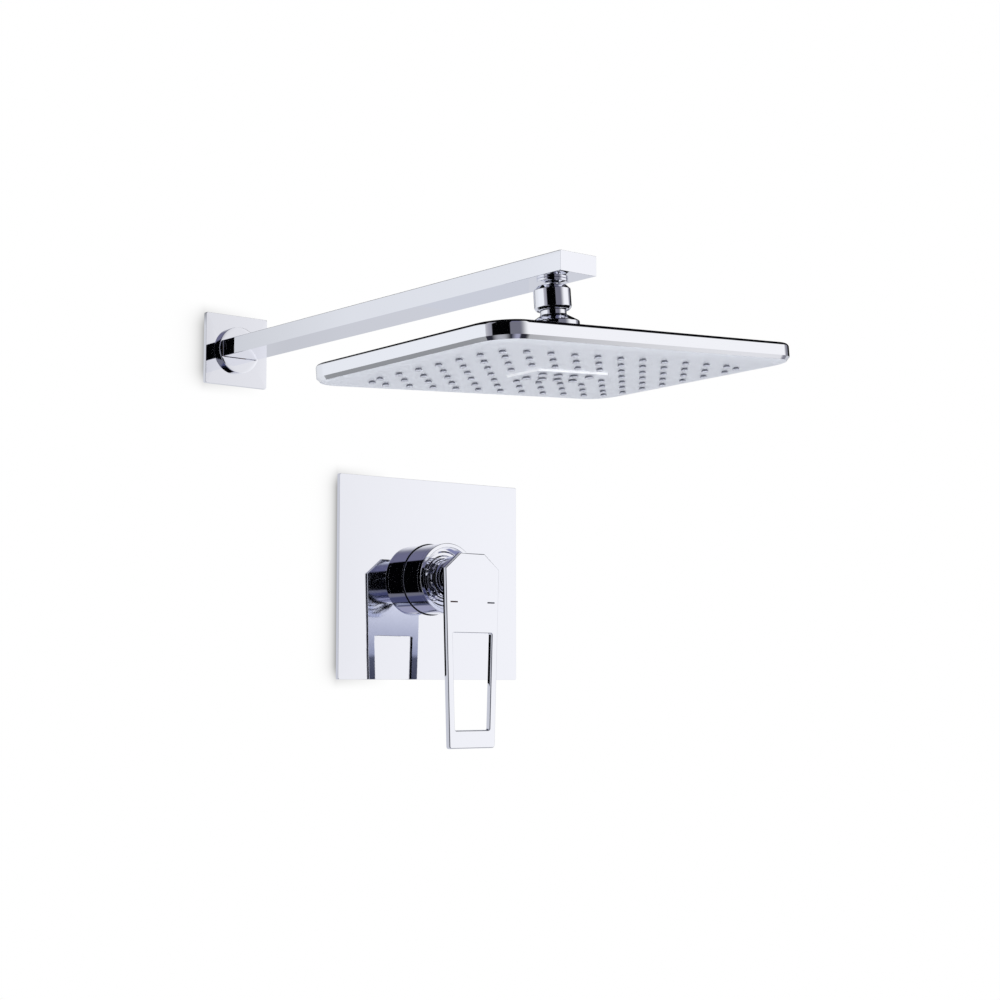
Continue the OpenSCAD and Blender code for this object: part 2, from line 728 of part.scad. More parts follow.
// Spray face with a hole for every nozzle and a window for the middle panel
module spray_face() {
    color(satin) at_head() difference() {
        translate([0, 0, face_z]) linear_extrude(face_t) difference() {
            round_rect(face_w, face_d, head_corner - face_inset);
            square([panel_w + 2 * seat_fit, panel_d + 2 * seat_fit], center = true);
            for (p = spray) translate(p) circle(nozzle_r + seat_fit, $fn = 24);
        }
        face_screw_holes(face_screw_r + run_fit, -rim_h - face_screw_bite - 2 * run_fit, -rim_h + eps);
    }
}

// Raised middle panel with its eight larger nozzle holes
module centre_panel() {
    color(satin) at_head() translate([0, 0, face_z - panel_out])
        linear_extrude(face_t + panel_out - 0.1) difference() {
            round_rect(panel_w, panel_d, 1.5);
            for (p = panel_spray) translate(p) circle(panel_nozzle_r + seat_fit, $fn = 24);
        }
}

// Screws that pull the cover, the mat and the spray face together, with their heads sunk in the cover
module face_screws() {
    foot = -rim_h - face_screw_bite;
    color(steel) at_head() face_screw_places() {
        translate([0, 0, foot]) cylinder(r = face_screw_r, h = chamber_top - foot - 0.1, $fn = 24);
        translate([0, 0, chamber_top - face_screw_head_t])
            cylinder(r = face_screw_head_r, h = face_screw_head_t - 0.1, $fn = 24);
    }
}

// Mixer trim

// Dished trim plate with the hole for the sleeve
module trim_plate() {
    color(chrome) at_mixer() difference() {
        along_y(plate_y, 0) round_rect(plate_w, plate_h, plate_corner);
        along_y(plate_y + sheet, eps) square([plate_w - 2 * sheet, plate_h - 2 * sheet], center = true);
        rod_y(sleeve_r + slide_fit, plate_y - eps, eps);
    }
}

// Foam frame between the trim plate and the wall
module plate_seal() {
    w = plate_w - 2 * sheet - 2 * seat_fit;
    h = plate_h - 2 * sheet - 2 * seat_fit;
    color(foam) at_mixer() along_y(-min(foam_t, plate_t - sheet), 0) difference() {
        square([w, h], center = true);
        square([w - 2 * foam_w, h - 2 * foam_w], center = true);
    }
}

// Rubber ring behind the plate that grips the sleeve and carries the plate
module plate_grip_ring() {
    color(rubber) at_mixer() ring_y(sleeve_r + 5, sleeve_r + 0.02, plate_y + sheet, 0);
}

// Tube around the cartridge
module sleeve() {
    color(chrome) at_mixer() ring_y(sleeve_r, sleeve_bore_r, bezel_y + bezel_len, sleeve_in);
}

// Bezel with a rounded front edge and a spigot inside the sleeve
module bezel_ring() {
    edge = 0.9;
    front = [for (a = [180 : 15 : 270])
        [sleeve_r - edge - edge * cos(a), bezel_y + edge + edge * sin(a)]];
    color(chrome) at_mixer() turned_y(concat(
        [[bezel_inner_r, bezel_y + 0.4], [bezel_inner_r + 0.4, bezel_y]],
        [for (k = [len(front) - 1 : -1 : 0]) front[k]],
        [[sleeve_r, bezel_y + bezel_len], [sleeve_bore_r - run_fit, bezel_y + bezel_len],
         [sleeve_bore_r - run_fit, cover_y], [bezel_inner_r, cover_y]]));
}

// Floor of the recess: a slightly dished ring around the lever's stem
module recess_cover() {
    color(chrome) at_mixer() turned_y([
        [cover_hole_r, cover_y + 0.4], [cover_hole_r + 0.6, cover_y], [sleeve_bore_r - run_fit, cover_y],
        [sleeve_bore_r - run_fit, cover_y + cover_t], [cover_hole_r, cover_y + cover_t]]);
}

// Valve body

// Brass body in the wall: neck with the cartridge's pocket, two inlets and two outlets
module valve_body() {
    color(brass) at_mixer() difference() {
        union() {
            rod_y(body_neck_r, neck_y, core_y + eps);
            rod_y(core_r, core_y, fixing_y);
            translate([-socket_reach, inlet_y, 0]) rotate([0, 90, 0])
                cylinder(r = socket_r, h = 2 * socket_reach);
            translate([0, outlet_y, -socket_reach]) cylinder(r = socket_r, h = 2 * socket_reach);
        }
        // pocket for the cartridge and thread for its nut
        rod_y(cart_r + seat_fit, shoulder_y - eps, pocket_y);
        rod_y(nut_ring_r + seat_fit, neck_y - eps, shoulder_y);
        // groove for the sleeve's seal
        ring_y(body_neck_r + 1, body_neck_r - 1.6,
               sleeve_seal_y - sleeve_seal_r - 0.35, sleeve_seal_y + sleeve_seal_r + 0.35);
        // threads of the four sockets
        for (s = [-1, 1]) {
            translate([s * (socket_reach + eps), inlet_y, 0]) rotate([0, -s * 90, 0])
                cylinder(r = socket_thread_r, h = socket_depth + eps);
            translate([0, outlet_y, s * (socket_reach + eps)]) rotate([90 + s * 90, 0, 0])
                cylinder(r = socket_thread_r, h = socket_depth + eps);
            // inlet passages to the hot and cold ports
            translate([s * (socket_reach - socket_depth + eps), inlet_y, 0]) rotate([0, -s * 90, 0])
                cylinder(r = passage_r, h = socket_reach - socket_depth - port_side + 1);
            rod_y(inlet_port_r, pocket_y - eps, inlet_y + 2, s * port_side, port_low);
        }
        // outlet passage
        translate([0, outlet_y, -socket_reach]) cylinder(r = passage_r, h = 2 * socket_reach);
        rod_y(outlet_port_r, pocket_y - eps, outlet_y, 0, port_high);
        // threads of the fixing plate's screws
        four_holes(plate_screw_r + run_fit, plate_screw_pitch, body_deep - plate_screw_len - 1, fixing_y + eps);
    }
}

// Four round bars along Y at the corners of a square
module four_holes(r, pitch, y0, y1) {
    for (x = [-1, 1], z = [-1, 1]) rod_y(r, y0, y1, x * pitch / 2, z * pitch / 2);
}

// Square steel plate behind the body, with the four fixing holes
module fixing_plate() {
    color(steel) at_mixer() difference() {
        along_y(fixing_y, body_deep) round_rect(fixing_side, fixing_side, fixing_corner);
        four_holes(fixing_hole_r, fixing_pitch, fixing_y - eps, body_deep + eps);
        four_holes(plate_screw_r + seat_fit, plate_screw_pitch, fixing_y - eps, body_deep + eps);
        four_sinks(seat_fit);
    }
}

// Countersinks of the plate's screws, or their heads when grow is zero
module four_sinks(grow) {
    at = plate_screw_pitch / 2;
    for (x = [-1, 1], z = [-1, 1])
        translate([x * at, body_deep - sink_deep, z * at]) rotate([-90, 0, 0])
            cylinder(r1 = plate_screw_r + grow, r2 = plate_screw_r + sink_deep + grow,
                     h = sink_deep - (grow > 0 ? -eps : 0.05));
}

// Four countersunk screws from the fixing plate into the body
module plate_screws() {
    color(steel) at_mixer() {
        four_holes(plate_screw_r, plate_screw_pitch, body_deep - plate_screw_len, body_deep - sink_deep + 0.1);
        four_sinks(0);
    }
}

// Plug in the lower outlet, which this set doesn't use
module outlet_plug() {
    plug_len = socket_depth - 3;
    plug_head_t = 2.5;
    plug_key_r = 5.8;
    color(brass) at_mixer() translate([0, outlet_y, -socket_reach]) difference() {
        union() {
            cylinder(r = socket_thread_r - seat_fit, h = plug_len);
            translate([0, 0, -plug_head_t]) cylinder(r = socket_r - 1, h = plug_head_t);
        }
        translate([0, 0, -plug_head_t - eps]) cylinder(r = plug_key_r, h = plug_len - 5, $fn = 6);
    }
}

// Rubber ring between the valve body's neck and the sleeve
module sleeve_seal() {
    color(rubber) at_mixer() rotate([-90, 0, 0]) rotate_extrude()
        translate([sleeve_bore_r - sleeve_seal_r - 0.03, sleeve_seal_y]) circle(sleeve_seal_r, $fn = 32);
}

// Cartridge

// Housing: stepped cup, open at the back, with a round mouth for the rotor
module cartridge_housing() {
    color(dark_plastic) at_mixer() difference() {
        union() {
            rod_y(cart_front_r, lip_y, shoulder_y + eps);
            rod_y(cart_r, shoulder_y, base_y);
        }
        rod_y(cart_bore_r, lip_y + lip_t, base_y + eps);
        rod_y(lip_hole_r, lip_y - eps, lip_y + lip_t + eps);
    }
}

// Cuts the hot, cold and outlet ports through a disc
module ports(y0, y1) {
    for (s = [-1, 1]) rod_y(inlet_port_r, y0 - eps, y1 + eps, s * port_side, port_low);
    rod_y(outlet_port_r, y0 - eps, y1 + eps, 0, port_high);
}

// Seats for the three rings in the base's back, or the rings themselves
module port_rings(grow, y0, y1) {
    for (p = [[-port_side, port_low, inlet_port_r], [port_side, port_low, inlet_port_r],
              [0, port_high, outlet_port_r]])
        rod_y(p[2] + ring_wall + grow, y0, y1, p[0], p[1]);
}

// Base with the three ports and the seats of their seals
module cartridge_base() {
    back = base_y + cart_base_t;
    color(plastic) at_mixer() difference() {
        rod_y(cart_r, base_y, back);
        ports(base_y, back);
        port_rings(seat_fit, back - ring_deep, back + eps);
    }
}

// Three rubber rings between the base and the pocket's floor
module base_seals() {
    back = base_y + cart_base_t;
    color(rubber) at_mixer() difference() {
        port_rings(0, back - ring_deep, pocket_y);
        ports(back - ring_deep, pocket_y);
    }
}

// Fixed ceramic disc
module fixed_disc() {
    color(ceramic) at_mixer() difference() {
        rod_y(cart_bore_r - seat_fit, seat_y, base_y);
        ports(seat_y, base_y);
    }
}

// Moving ceramic disc with the mixing hollow in its back
module moving_disc() {
    color(ceramic) at_mixer() difference() {
        rod_y(moving_disc_r, disc_y, seat_y, 0, disc_rest_z);
        rod_y(mix_hollow_r, disc_y + hollow_roof, seat_y + eps, 0, disc_rest_z);
    }
}

// Plastic driver that pushes the moving disc, with flats that slide between the rotor's rails
module disc_driver() {
    color(dark_plastic) at_mixer() difference() {
        intersection() {
            rod_y(moving_disc_r, driver_y, disc_y, 0, disc_rest_z);
            translate([-flat_half, driver_y - 1, -across / 2])
                cube([2 * flat_half, driver_t + 2, across]);
        }
        rod_y(drive_ball_r + seat_fit, driver_y - eps, disc_y + eps);
    }
}

// Rotor: turns in the housing, carries the tilt pin and drives the disc between two rails
module rotor() {
    back = driver_y - 0.4;
    r = cart_bore_r - slide_fit;
    color(dark_plastic) at_mixer() difference() {
        union() {
            rod_y(lip_hole_r - run_fit, lip_y, lip_y + lip_t + 1);
            rod_y(r, lip_y + lip_t + 0.1, back);
            for (s = [-1, 1])
                translate([s * (flat_half + rail_in + rail_t / 2) - rail_t / 2, back - eps, -rail_up / 2])
                    cube([rail_t, driver_t, rail_up]);
        }
        translate([-slot_half, lip_y - eps, -slot_down])
            cube([2 * slot_half, back - lip_y + 2 * eps, slot_down + slot_up]);
        translate([-across / 2, pivot_y, 0]) rotate([0, 90, 0]) cylinder(r = pin_r, h = across);
    }
}

// Steel pin across the rotor
module tilt_pin() {
    half = sqrt(pow(cart_bore_r - slide_fit, 2) - pow(pin_r, 2)) - 0.2;
    color(steel) at_mixer() translate([-half, pivot_y, 0]) rotate([0, 90, 0])
        cylinder(r = pin_r - 0.01, h = 2 * half);
}

// Lever stem: drive ball, tapered neck, round stem and square end
module lever_stem() {
    taper_len = 2.2;
    taper_y = driver_y - 2.6;                  // where the stem starts to narrow
    neck = drive_ball_r - 0.8;
    square_y = socket_y + 2;                   // where the square end starts
    color(steel) at_mixer() difference() {
        union() {
            translate([0, ball_y, 0]) sphere(drive_ball_r);
            rod_y(neck, taper_y + 1, ball_y);
            translate([0, taper_y, 0]) rotate([-90, 0, 0]) cylinder(r1 = stem_r, r2 = neck, h = taper_len);
            rod_y(stem_r, square_y, taper_y + eps);
            translate([-stem_square / 2, stem_end_y, -stem_square / 2])
                cube([stem_square, square_y - stem_end_y + eps, stem_square]);
        }
        translate([-across / 2, pivot_y, 0]) rotate([0, 90, 0]) cylinder(r = pin_r + run_fit, h = across);
    }
}

// Ring nut that holds the cartridge in its pocket
module cartridge_nut() {
    front = neck_y + 1;
    key_w = 4;
    key_deep = 2;
    color(brass) at_mixer() difference() {
        ring_y(nut_ring_r, cart_front_r + seat_fit, front, shoulder_y);
        // four slots for the key
        for (a = [0 : 90 : 270])
            rotate([0, a, 0]) translate([cart_front_r - 1, front - eps, -key_w / 2])
                cube([nut_ring_r, key_deep, key_w]);
    }
}

// Handle

// Round hub behind the handle, with the stem's square socket
module handle_hub() {
    half = stem_square / 2 + seat_fit;
    color(chrome) at_mixer() difference() {
        union() {
            rod_y(handle_hub_r, handle_y, hub_y);
            rod_y(hub_socket_r, hub_y - eps, socket_y);
        }
        translate([-half, stem_end_y - seat_fit, -half])
            cube([2 * half, socket_y - stem_end_y + 1, 2 * half]);
        rod_y(stem_r + seat_fit, socket_y - 1, socket_y + eps);
        // grub screw's thread, from below
        translate([0, grub_y, -handle_hub_r - eps]) cylinder(r = grub_r, h = handle_hub_r);
        for (s = [-1, 1]) {
            rod_y(hub_screw_r + seat_fit, handle_y - eps, hub_y + eps, s * hub_screw_x);
            rod_y(hub_screw_head_r + seat_fit, hub_y - hub_screw_head_in, hub_y + eps, s * hub_screw_x);
        }
    }
}

// Half width of the handle at a depth below the mixer's axis
function handle_half(down) =
    handle_w / 2 + (handle_end_w - handle_w) / 2
        * (down + handle_up - cut_corner_h) / (handle_down + handle_up - cut_corner_h);

// Points of a rounded corner about the centre c, from angle a0 to angle a1
function corner(c, r, a0, a1) = [for (k = [0 : 6])
    let (a = a0 + (a1 - a0) * k / 6) [c.x + r * cos(a), c.y + r * sin(a)]];

// Outline of the handle's plate, in X and Z
module handle_outline() {
    top_half = handle_w / 2;
    end_x = handle_end_w / 2 - handle_corner;
    end_z = handle_corner - handle_down;
    difference() {
        polygon(concat(
            [[-top_half, handle_up - cut_corner_h], [-top_half + cut_corner_w, handle_up],
             [top_half - cut_corner_w, handle_up], [top_half, handle_up - cut_corner_h]],
            corner([end_x, end_z], handle_corner, 0, -90),
            corner([-end_x, end_z], handle_corner, -90, -180)));
        finger_opening();
    }
}

// Outline of the finger opening, which follows the handle's taper
module finger_opening() {
    r = opening_corner;
    top_x = handle_half(opening_top) - side_bar - r;
    end_x = handle_half(opening_bottom) - side_bar - r;
    polygon(concat(
        corner([-top_x, -opening_top - r], r, 180, 90), corner([top_x, -opening_top - r], r, 90, 0),
        corner([end_x, -opening_bottom + r], r, 0, -90),
        corner([-end_x, -opening_bottom + r], r, -90, -180)));
}

// Flat handle plate with cut upper corners and the finger opening
module handle() {
    color(chrome) at_mixer() difference() {
        along_y(handle_y - handle_t, handle_y) handle_outline();
        for (s = [-1, 1]) {
            rod_y(hub_screw_r - 0.3, handle_y - handle_t + hub_screw_skin, handle_y + eps, s * hub_screw_x);
            mark(s, 0.05);
        }
    }
}

// One mark on the handle's face, or its pocket when grow is above zero
module mark(side, grow) {
    front = handle_y - handle_t;
    translate([side * mark_side - mark_len / 2 - grow, front - (grow > 0 ? eps : 0),
               -mark_down - mark_w / 2 - grow])
        cube([mark_len + 2 * grow, mark_deep + (grow > 0 ? eps : 0), mark_w + 2 * grow]);
}

// Dark red mark on the hot side
module hot_mark() {
    color(red) at_mixer() mark(-1, 0);
}

// Dark blue mark on the cold side
module cold_mark() {
    color(blue) at_mixer() mark(1, 0);
}

// Two screws from the hub's back into the handle's plate
module hub_screws() {
    head_y = hub_y - hub_screw_head_in;
    color(steel) at_mixer() for (s = [-1, 1]) {
        rod_y(hub_screw_r - 0.35, handle_y - handle_t + hub_screw_skin + 0.2, head_y, s * hub_screw_x);
        difference() {
            rod_y(hub_screw_head_r, head_y, head_y + hub_screw_head_t, s * hub_screw_x);
            translate([s * hub_screw_x, head_y + hub_screw_head_t + eps, 0]) rotate([90, 0, 0])
                cylinder(r = hub_screw_key_r, h = 1.6, $fn = 6);
        }
    }
}

// Grub screw that locks the hub on the stem's square
module grub_screw() {
    top = -stem_square / 2;
    color(steel) at_mixer() translate([0, grub_y, top - grub_len]) difference() {
        cylinder(r = grub_r - 0.1, h = grub_len);
        translate([0, 0, -eps]) cylinder(r = grub_key_r, h = 2.5, $fn = 6);
    }
}

// Cap over the grub screw's hole
module screw_cap() {
    color(chrome) at_mixer() translate([0, grub_y, 0]) intersection() {
        translate([0, 0, -handle_hub_r]) cylinder(r = grub_r - 0.1, h = cap_len);
        rod_y(handle_hub_r, -grub_r, grub_r);
    }
}

arm_bar();
arm_tail();
arm_flange();
flange_seal();
ball_stud();
stud_seal();
ball_seat();
swivel_nut();
head_hub();
strainer();
hub_washer();
head_shell();
hub_backnut();
inlet_seal();
chamber_cover();
nozzle_mat();
spray_face();
centre_panel();
face_screws();
trim_plate();
plate_seal();
plate_grip_ring();
sleeve();
bezel_ring();
recess_cover();
valve_body();
fixing_plate();
plate_screws();
outlet_plug();
sleeve_seal();
cartridge_housing();
cartridge_base();
base_seals();
fixed_disc();
moving_disc();
disc_driver();
rotor();
tilt_pin();
lever_stem();
cartridge_nut();
handle_hub();
handle();
hub_screws();
grub_screw();
screw_cap();
hot_mark();
cold_mark();
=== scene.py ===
"""Looks of the concealed shower mixer with its wall arm and rain head.

Lengths are millimetres until a mesh is placed, and metres in the studio: its wall, cards, lamps and camera.
The origin is where the arm's tail meets the wall, +Y goes into the wall, +X is to the right, +Z is up.
"""
import json
import math
import bmesh
import bpy
from mathutils import Matrix, Vector


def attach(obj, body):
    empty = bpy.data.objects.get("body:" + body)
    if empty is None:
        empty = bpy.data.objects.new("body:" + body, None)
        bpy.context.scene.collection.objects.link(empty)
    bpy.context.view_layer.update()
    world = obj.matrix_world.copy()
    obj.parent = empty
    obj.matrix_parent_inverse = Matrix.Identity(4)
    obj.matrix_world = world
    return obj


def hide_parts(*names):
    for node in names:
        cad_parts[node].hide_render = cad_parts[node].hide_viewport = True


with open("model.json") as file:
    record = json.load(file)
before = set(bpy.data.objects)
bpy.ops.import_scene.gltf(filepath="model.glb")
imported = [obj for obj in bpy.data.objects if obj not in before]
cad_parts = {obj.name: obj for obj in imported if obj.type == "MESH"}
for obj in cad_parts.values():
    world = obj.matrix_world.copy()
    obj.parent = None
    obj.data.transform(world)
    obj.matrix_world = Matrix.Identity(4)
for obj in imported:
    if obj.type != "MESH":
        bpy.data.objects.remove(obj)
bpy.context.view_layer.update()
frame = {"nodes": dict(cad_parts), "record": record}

MM = 0.001
WHITE = (1, 1, 1, 1)

# Main sizes, as in the CAD source
MIXER = Vector((180, 0, -162))          # mixer's centre on the wall
BAR_W, BAR_H, REACH = 28.0, 12.0, 380.0
BALL = Vector((0, -356.8, -18))         # centre of the swivel's ball
HEAD_TURN = (-1.6, -3.7, 2.8)           # fore tilt, side tilt and turn of the head, degrees
BALL_UP = 33.3                          # ball's centre above the rim's upper edge
HEAD_W, HEAD_D, HEAD_R = 245.0, 172.5, 20.5
RIM_H = 8.2                             # height of the rim
SHELL_WALL = 1.8
PITCH, ROW_PITCH = 18.1, 17.3           # nozzle pitch along the head's width and its depth
PANEL_W, PANEL_D, PANEL_PITCH = 58.0, 29.5, (12.6, 14.0)
FLANGE, PLATE_W, PLATE_H, PLATE_T = 52.0, 175.0, 156.5, 3.0
BOSS_R, BOSS_Y = 17.0, -7.0             # round boss of the flange, and its front
SLEEVE_R, SLEEVE_IN = 27.5, 26.0
BEZEL_Y, BEZEL_LEN, RECESS = -26.0, 4.0, 5.5
HANDLE_Y, HANDLE_T = -52.0, 4.0         # back of the handle's plate, and its thickness
HANDLE_UP, HANDLE_DOWN = 18.2, 130.5    # its ends, above and below the mixer's axis
HANDLE_HALF, TIP_HALF, SIDE_BAR = 26.5, 22.25, 6.2
CUT_W, CUT_H = 14.7, 12.0               # its cut upper corners
WINDOW_TOP, WINDOW_END = 43.2, 116.5    # its finger opening, below the mixer's axis

# Fine sizes from the photo, where the CAD source has plainer forms
RIM_EDGE = 2.0                          # radius of the rim's upper edge
ROOF_W, ROOF_D = 0.62 * HEAD_W, 0.55 * HEAD_D      # flat middle of the roof
ROOF_IN = 2.5                           # foot of the roof, inside the rim
ROOF_LOW, ROOF_RISE, ROOF_TOP = 0.38, 6.5, 7.0
FACE_EDGE = -9.95                       # lower edge of the bright lip round the spray face
FACE_Z, CROWN = -11.1, 0.1              # the face inside its soft shoulder, and its swell to the middle
LIP, SHOULDER = 1.96, 9.5               # inner edge of the lip, and of the shoulder, from the rim
LIP_SIDE, FACE_SIDE = LIP + 0.15, LIP + 0.2        # the shell's inner side and the face's side, a hair apart
PANEL_OUT, PANEL_BEVEL, PANEL_R = 1.35, 0.6, 2.2
TUCK = 0.6                              # how much smaller the face's opening is than the panel
PLATE_EDGE = [(0, 0), (0, -2.75), (0.08, -2.92), (0.25, -PLATE_T)]     # (inset, y) of a pressed plate's side
PLATE_R = 1.2
PER_CORNER, PER_SIDE = 12, 10           # steps on each corner and each side of an oblong of the head


def spin_matrix(rx, ry, rz):
    """Turns about X, then Y, then Z, in degrees, as the CAD source does."""
    return (Matrix.Rotation(math.radians(rz), 4, "Z") @ Matrix.Rotation(math.radians(ry), 4, "Y")
            @ Matrix.Rotation(math.radians(rx), 4, "X"))


# Places, as matrices from millimetres in a piece's own frame to millimetres in the row frame
ROW = Matrix.Identity(4)
AT_MIXER = Matrix.Translation(MIXER)
AT_BALL = Matrix.Translation(BALL)
AT_NUT = AT_BALL @ spin_matrix(*HEAD_TURN)
AT_HEAD = AT_NUT @ Matrix.Translation((0, 0, -BALL_UP))
ALONG_Y = Matrix.Rotation(math.radians(-90), 4, "X")     # a turned profile's z becomes +Y


# Tools for objects and node trees
def linear(hex_colour):
    """sRGB hex to linear RGBA."""
    out = []
    for k in (1, 3, 5):
        c = int(hex_colour[k:k + 2], 16) / 255
        out.append(c / 12.92 if c <= 0.04045 else ((c + 0.055) / 1.055) ** 2.4)
    return (*out, 1.0)


def put(name, data):
    """A new object in the scene."""
    obj = bpy.data.objects.new(name, data)
    bpy.context.scene.collection.objects.link(obj)
    return obj


def add(tree, kind, inputs=None, **settings):
    """Adds a node: settings are its properties, inputs its sockets' values or the sockets that feed them."""
    node = tree.nodes.new(kind)
    for name, value in settings.items():
        setattr(node, name, value)
    for name, value in (inputs or {}).items():
        socket = node.inputs[name]
        if isinstance(value, bpy.types.NodeSocket):
            tree.links.new(value, socket)
        else:
            socket.default_value = value
    return node


def maths(tree, operation, *values):
    """The result of one Math node on numbers or sockets."""
    return add(tree, "ShaderNodeMath", dict(enumerate(values)), operation=operation).outputs[0]


def ranged(tree, value, start, stop, least=0.0, most=1.0, smooth=False):
    """Goes from least to most while the value goes from start to stop."""
    return add(tree, "ShaderNodeMapRange", {"Value": value, "From Min": start, "From Max": stop,
                                            "To Min": least, "To Max": most},
               interpolation_type="SMOOTHSTEP" if smooth else "LINEAR").outputs[0]


def blended(tree, share, first, second):
    """A colour that goes from the first to the second as the share goes from 0 to 1."""
    return add(tree, "ShaderNodeMix", {"Factor": share, "A": first, "B": second},
               data_type="RGBA").outputs["Result"]


def mixed(tree, share, first, second):
    """A shader that goes from the first to the second as the share goes from 0 to 1."""
    return add(tree, "ShaderNodeMixShader", {0: share, 1: first, 2: second}).outputs[0]


def ramp(tree, value, stops):
    """A colour for each value, from stops of (value, linear colour) in rising order."""
    node = add(tree, "ShaderNodeValToRGB", {"Fac": value})
    elements = node.color_ramp.elements
    while len(elements) < len(stops):
        elements.new(0.5)
    for element, (position, colour) in zip(elements, stops):
        element.position, element.color = position, colour
    return node.outputs["Color"]


def place_of(tree, coordinates="Object"):
    """X, Y and Z of a point, or of a direction in the world."""
    vector = add(tree, "ShaderNodeTexCoord").outputs[coordinates]
    return add(tree, "ShaderNodeSeparateXYZ", {"Vector": vector}).outputs


def material(name):
    """An empty material and its tree."""
    m = bpy.data.materials.new(name)
    m.use_nodes = True
    m.node_tree.nodes.clear()
    return m, m.node_tree


def polished_metal(name, colour, roughness, polish_mm, fine):
    """Metal with a faint, slow change of polish: fine is how much rougher it gets from patch to patch."""
    m, t = material(name)
    place = add(t, "ShaderNodeTexCoord").outputs["Object"]
    polish = add(t, "ShaderNodeTexNoise", {"Vector": place, "Scale": 1 / (polish_mm * MM), "Detail": 3.0})
    rough = ranged(t, polish.outputs["Fac"], 0.3, 0.7, roughness, roughness + fine)
    shader = add(t, "ShaderNodeBsdfPrincipled", {"Base Color": linear(colour), "Metallic": 1.0,
                                                 "Roughness": rough})
    add(t, "ShaderNodeOutputMaterial", {"Surface": shader.outputs["BSDF"]})
    return m


def moulded(name, colour, roughness, grain_mm=0.6, grain_deep=0.01, tint=0.04):
    """Moulded plastic, rubber or ceramic: fine grain and a slight drift of tone."""
    m, t = material(name)
    place = add(t, "ShaderNodeTexCoord").outputs["Object"]
    drift = add(t, "ShaderNodeTexNoise", {"Vector": place, "Scale": 1 / (30 * MM), "Detail": 2.0})
    light = linear(colour)
    dark = tuple(c * (1 - 2 * tint) for c in light[:3]) + (1.0,)
    grain = add(t, "ShaderNodeTexNoise", {"Vector": place, "Scale": 1 / (grain_mm * MM), "Detail": 2.0})
    bump = add(t, "ShaderNodeBump", {"Height": grain.outputs["Fac"], "Strength": 0.6,
                                     "Distance": grain_deep * MM})
    shader = add(t, "ShaderNodeBsdfPrincipled", {
        "Base Color": blended(t, drift.outputs["Fac"], dark, light), "Roughness": roughness,
        "Normal": bump.outputs["Normal"]})
    add(t, "ShaderNodeOutputMaterial", {"Surface": shader.outputs["BSDF"]})
    return m


def fading_metal(name, colours, high, low, roughness, polish_mm, fine):
    """Polished metal whose colour changes with height, from high to low: colours are (share, hex)."""
    m = polished_metal(name, colours[0][1], roughness, polish_mm, fine)
    t = m.node_tree
    fade = ramp(t, ranged(t, place_of(t)["Z"], high, low), [(share, linear(c)) for share, c in colours])
    t.links.new(fade, t.nodes["Principled BSDF"].inputs["Base Color"])
    return m


# Finishes
# Electroplated bright chrome on brass: a mirror with a slightly cool tone and hardly any haze
chrome = polished_metal("chrome_plate_on_brass", "#F1F2F9", 0.022, polish_mm=9, fine=0.012)
# Chrome on the back of the handle, a little blurred, with painted shade: its colour darkens towards the tip
handle_back_painted_shade = fading_metal(
    "thin_chrome_on_cast_back", ((0.0, "#EEF1FA"), (0.66, "#A3A8BE"), (0.72, "#5A5E70"), (1.0, "#4C4F60")),
    -0.180, -0.240, 0.09, polish_mm=4, fine=0.03)
# The same plate on the pressed head: a little more haze than on turned brass
pressed_chrome = polished_metal("chrome_plate_on_pressed_steel", "#F0F1F7", 0.03, polish_mm=12, fine=0.02)
# Pale grey moulded ABS of the spray face: an even tone with a soft sheen towards its edges
pale_abs = moulded("pale_grey_abs", "#E1E5EF", 0.34, grain_mm=0.8, grain_deep=0.002, tint=0.01)
# Glossy ABS of the bevel round the middle panel, made near-white as a painted highlight: a bright line
white_abs = moulded("white_abs", "#F8FAFF", 0.22, grain_mm=0.8, grain_deep=0.002, tint=0.0)
# Grey ABS of the nozzles' mouths: a shade darker than the face
grey_abs = moulded("mid_grey_abs", "#C6C9D4", 0.30, grain_mm=0.8, grain_deep=0.002, tint=0.01)
# Cast and turned brass: warm, with turning marks too fine to see and a dull cast skin
cast_brass = polished_metal("cast_brass", "#C9A567", 0.34, polish_mm=2.5, fine=0.14)
# Bright stainless steel of screws and pins: greyer and less sharp than chrome
stainless = polished_metal("stainless_steel", "#B9BABD", 0.24, polish_mm=1.5, fine=0.10)
# Liquid silicone rubber of the nozzles: soft dark grey with a slight sheen
nozzle_silicone = moulded("grey_silicone_rubber", "#777984", 0.42, grain_mm=0.8, grain_deep=0.004)
# Acetal of the cartridge and the chamber: milky white, low gloss
acetal = moulded("moulded_acetal", "#E6E6E0", 0.45)
# Glass-filled plastic of the cartridge: black and slightly glossy
black_plastic = moulded("black_glass_filled_plastic", "#26272A", 0.35, grain_mm=0.5, grain_deep=0.003)
# Black nitrile rubber of rings and washers: black, with a dull sheen
nitrile = moulded("black_nitrile_rubber", "#1C1C1E", 0.55, grain_mm=0.4)
# Closed-cell foam of the wall seals: dark grey, matt and pitted
foam = moulded("closed_cell_foam", "#4A4A4C", 0.9, grain_mm=0.7, grain_deep=0.12)
# Lapped alumina of the discs: off-white and smooth
alumina = moulded("lapped_alumina", "#F1EDE2", 0.18, grain_mm=0.3, grain_deep=0.001)
# Baked enamel in the two marks: almost black, one tinged red and one blue
red_enamel = moulded("dark_red_enamel", "#2A0D10", 0.30, grain_mm=0.5, grain_deep=0.002)
blue_enamel = moulded("dark_blue_enamel", "#10162C", 0.30, grain_mm=0.5, grain_deep=0.002)

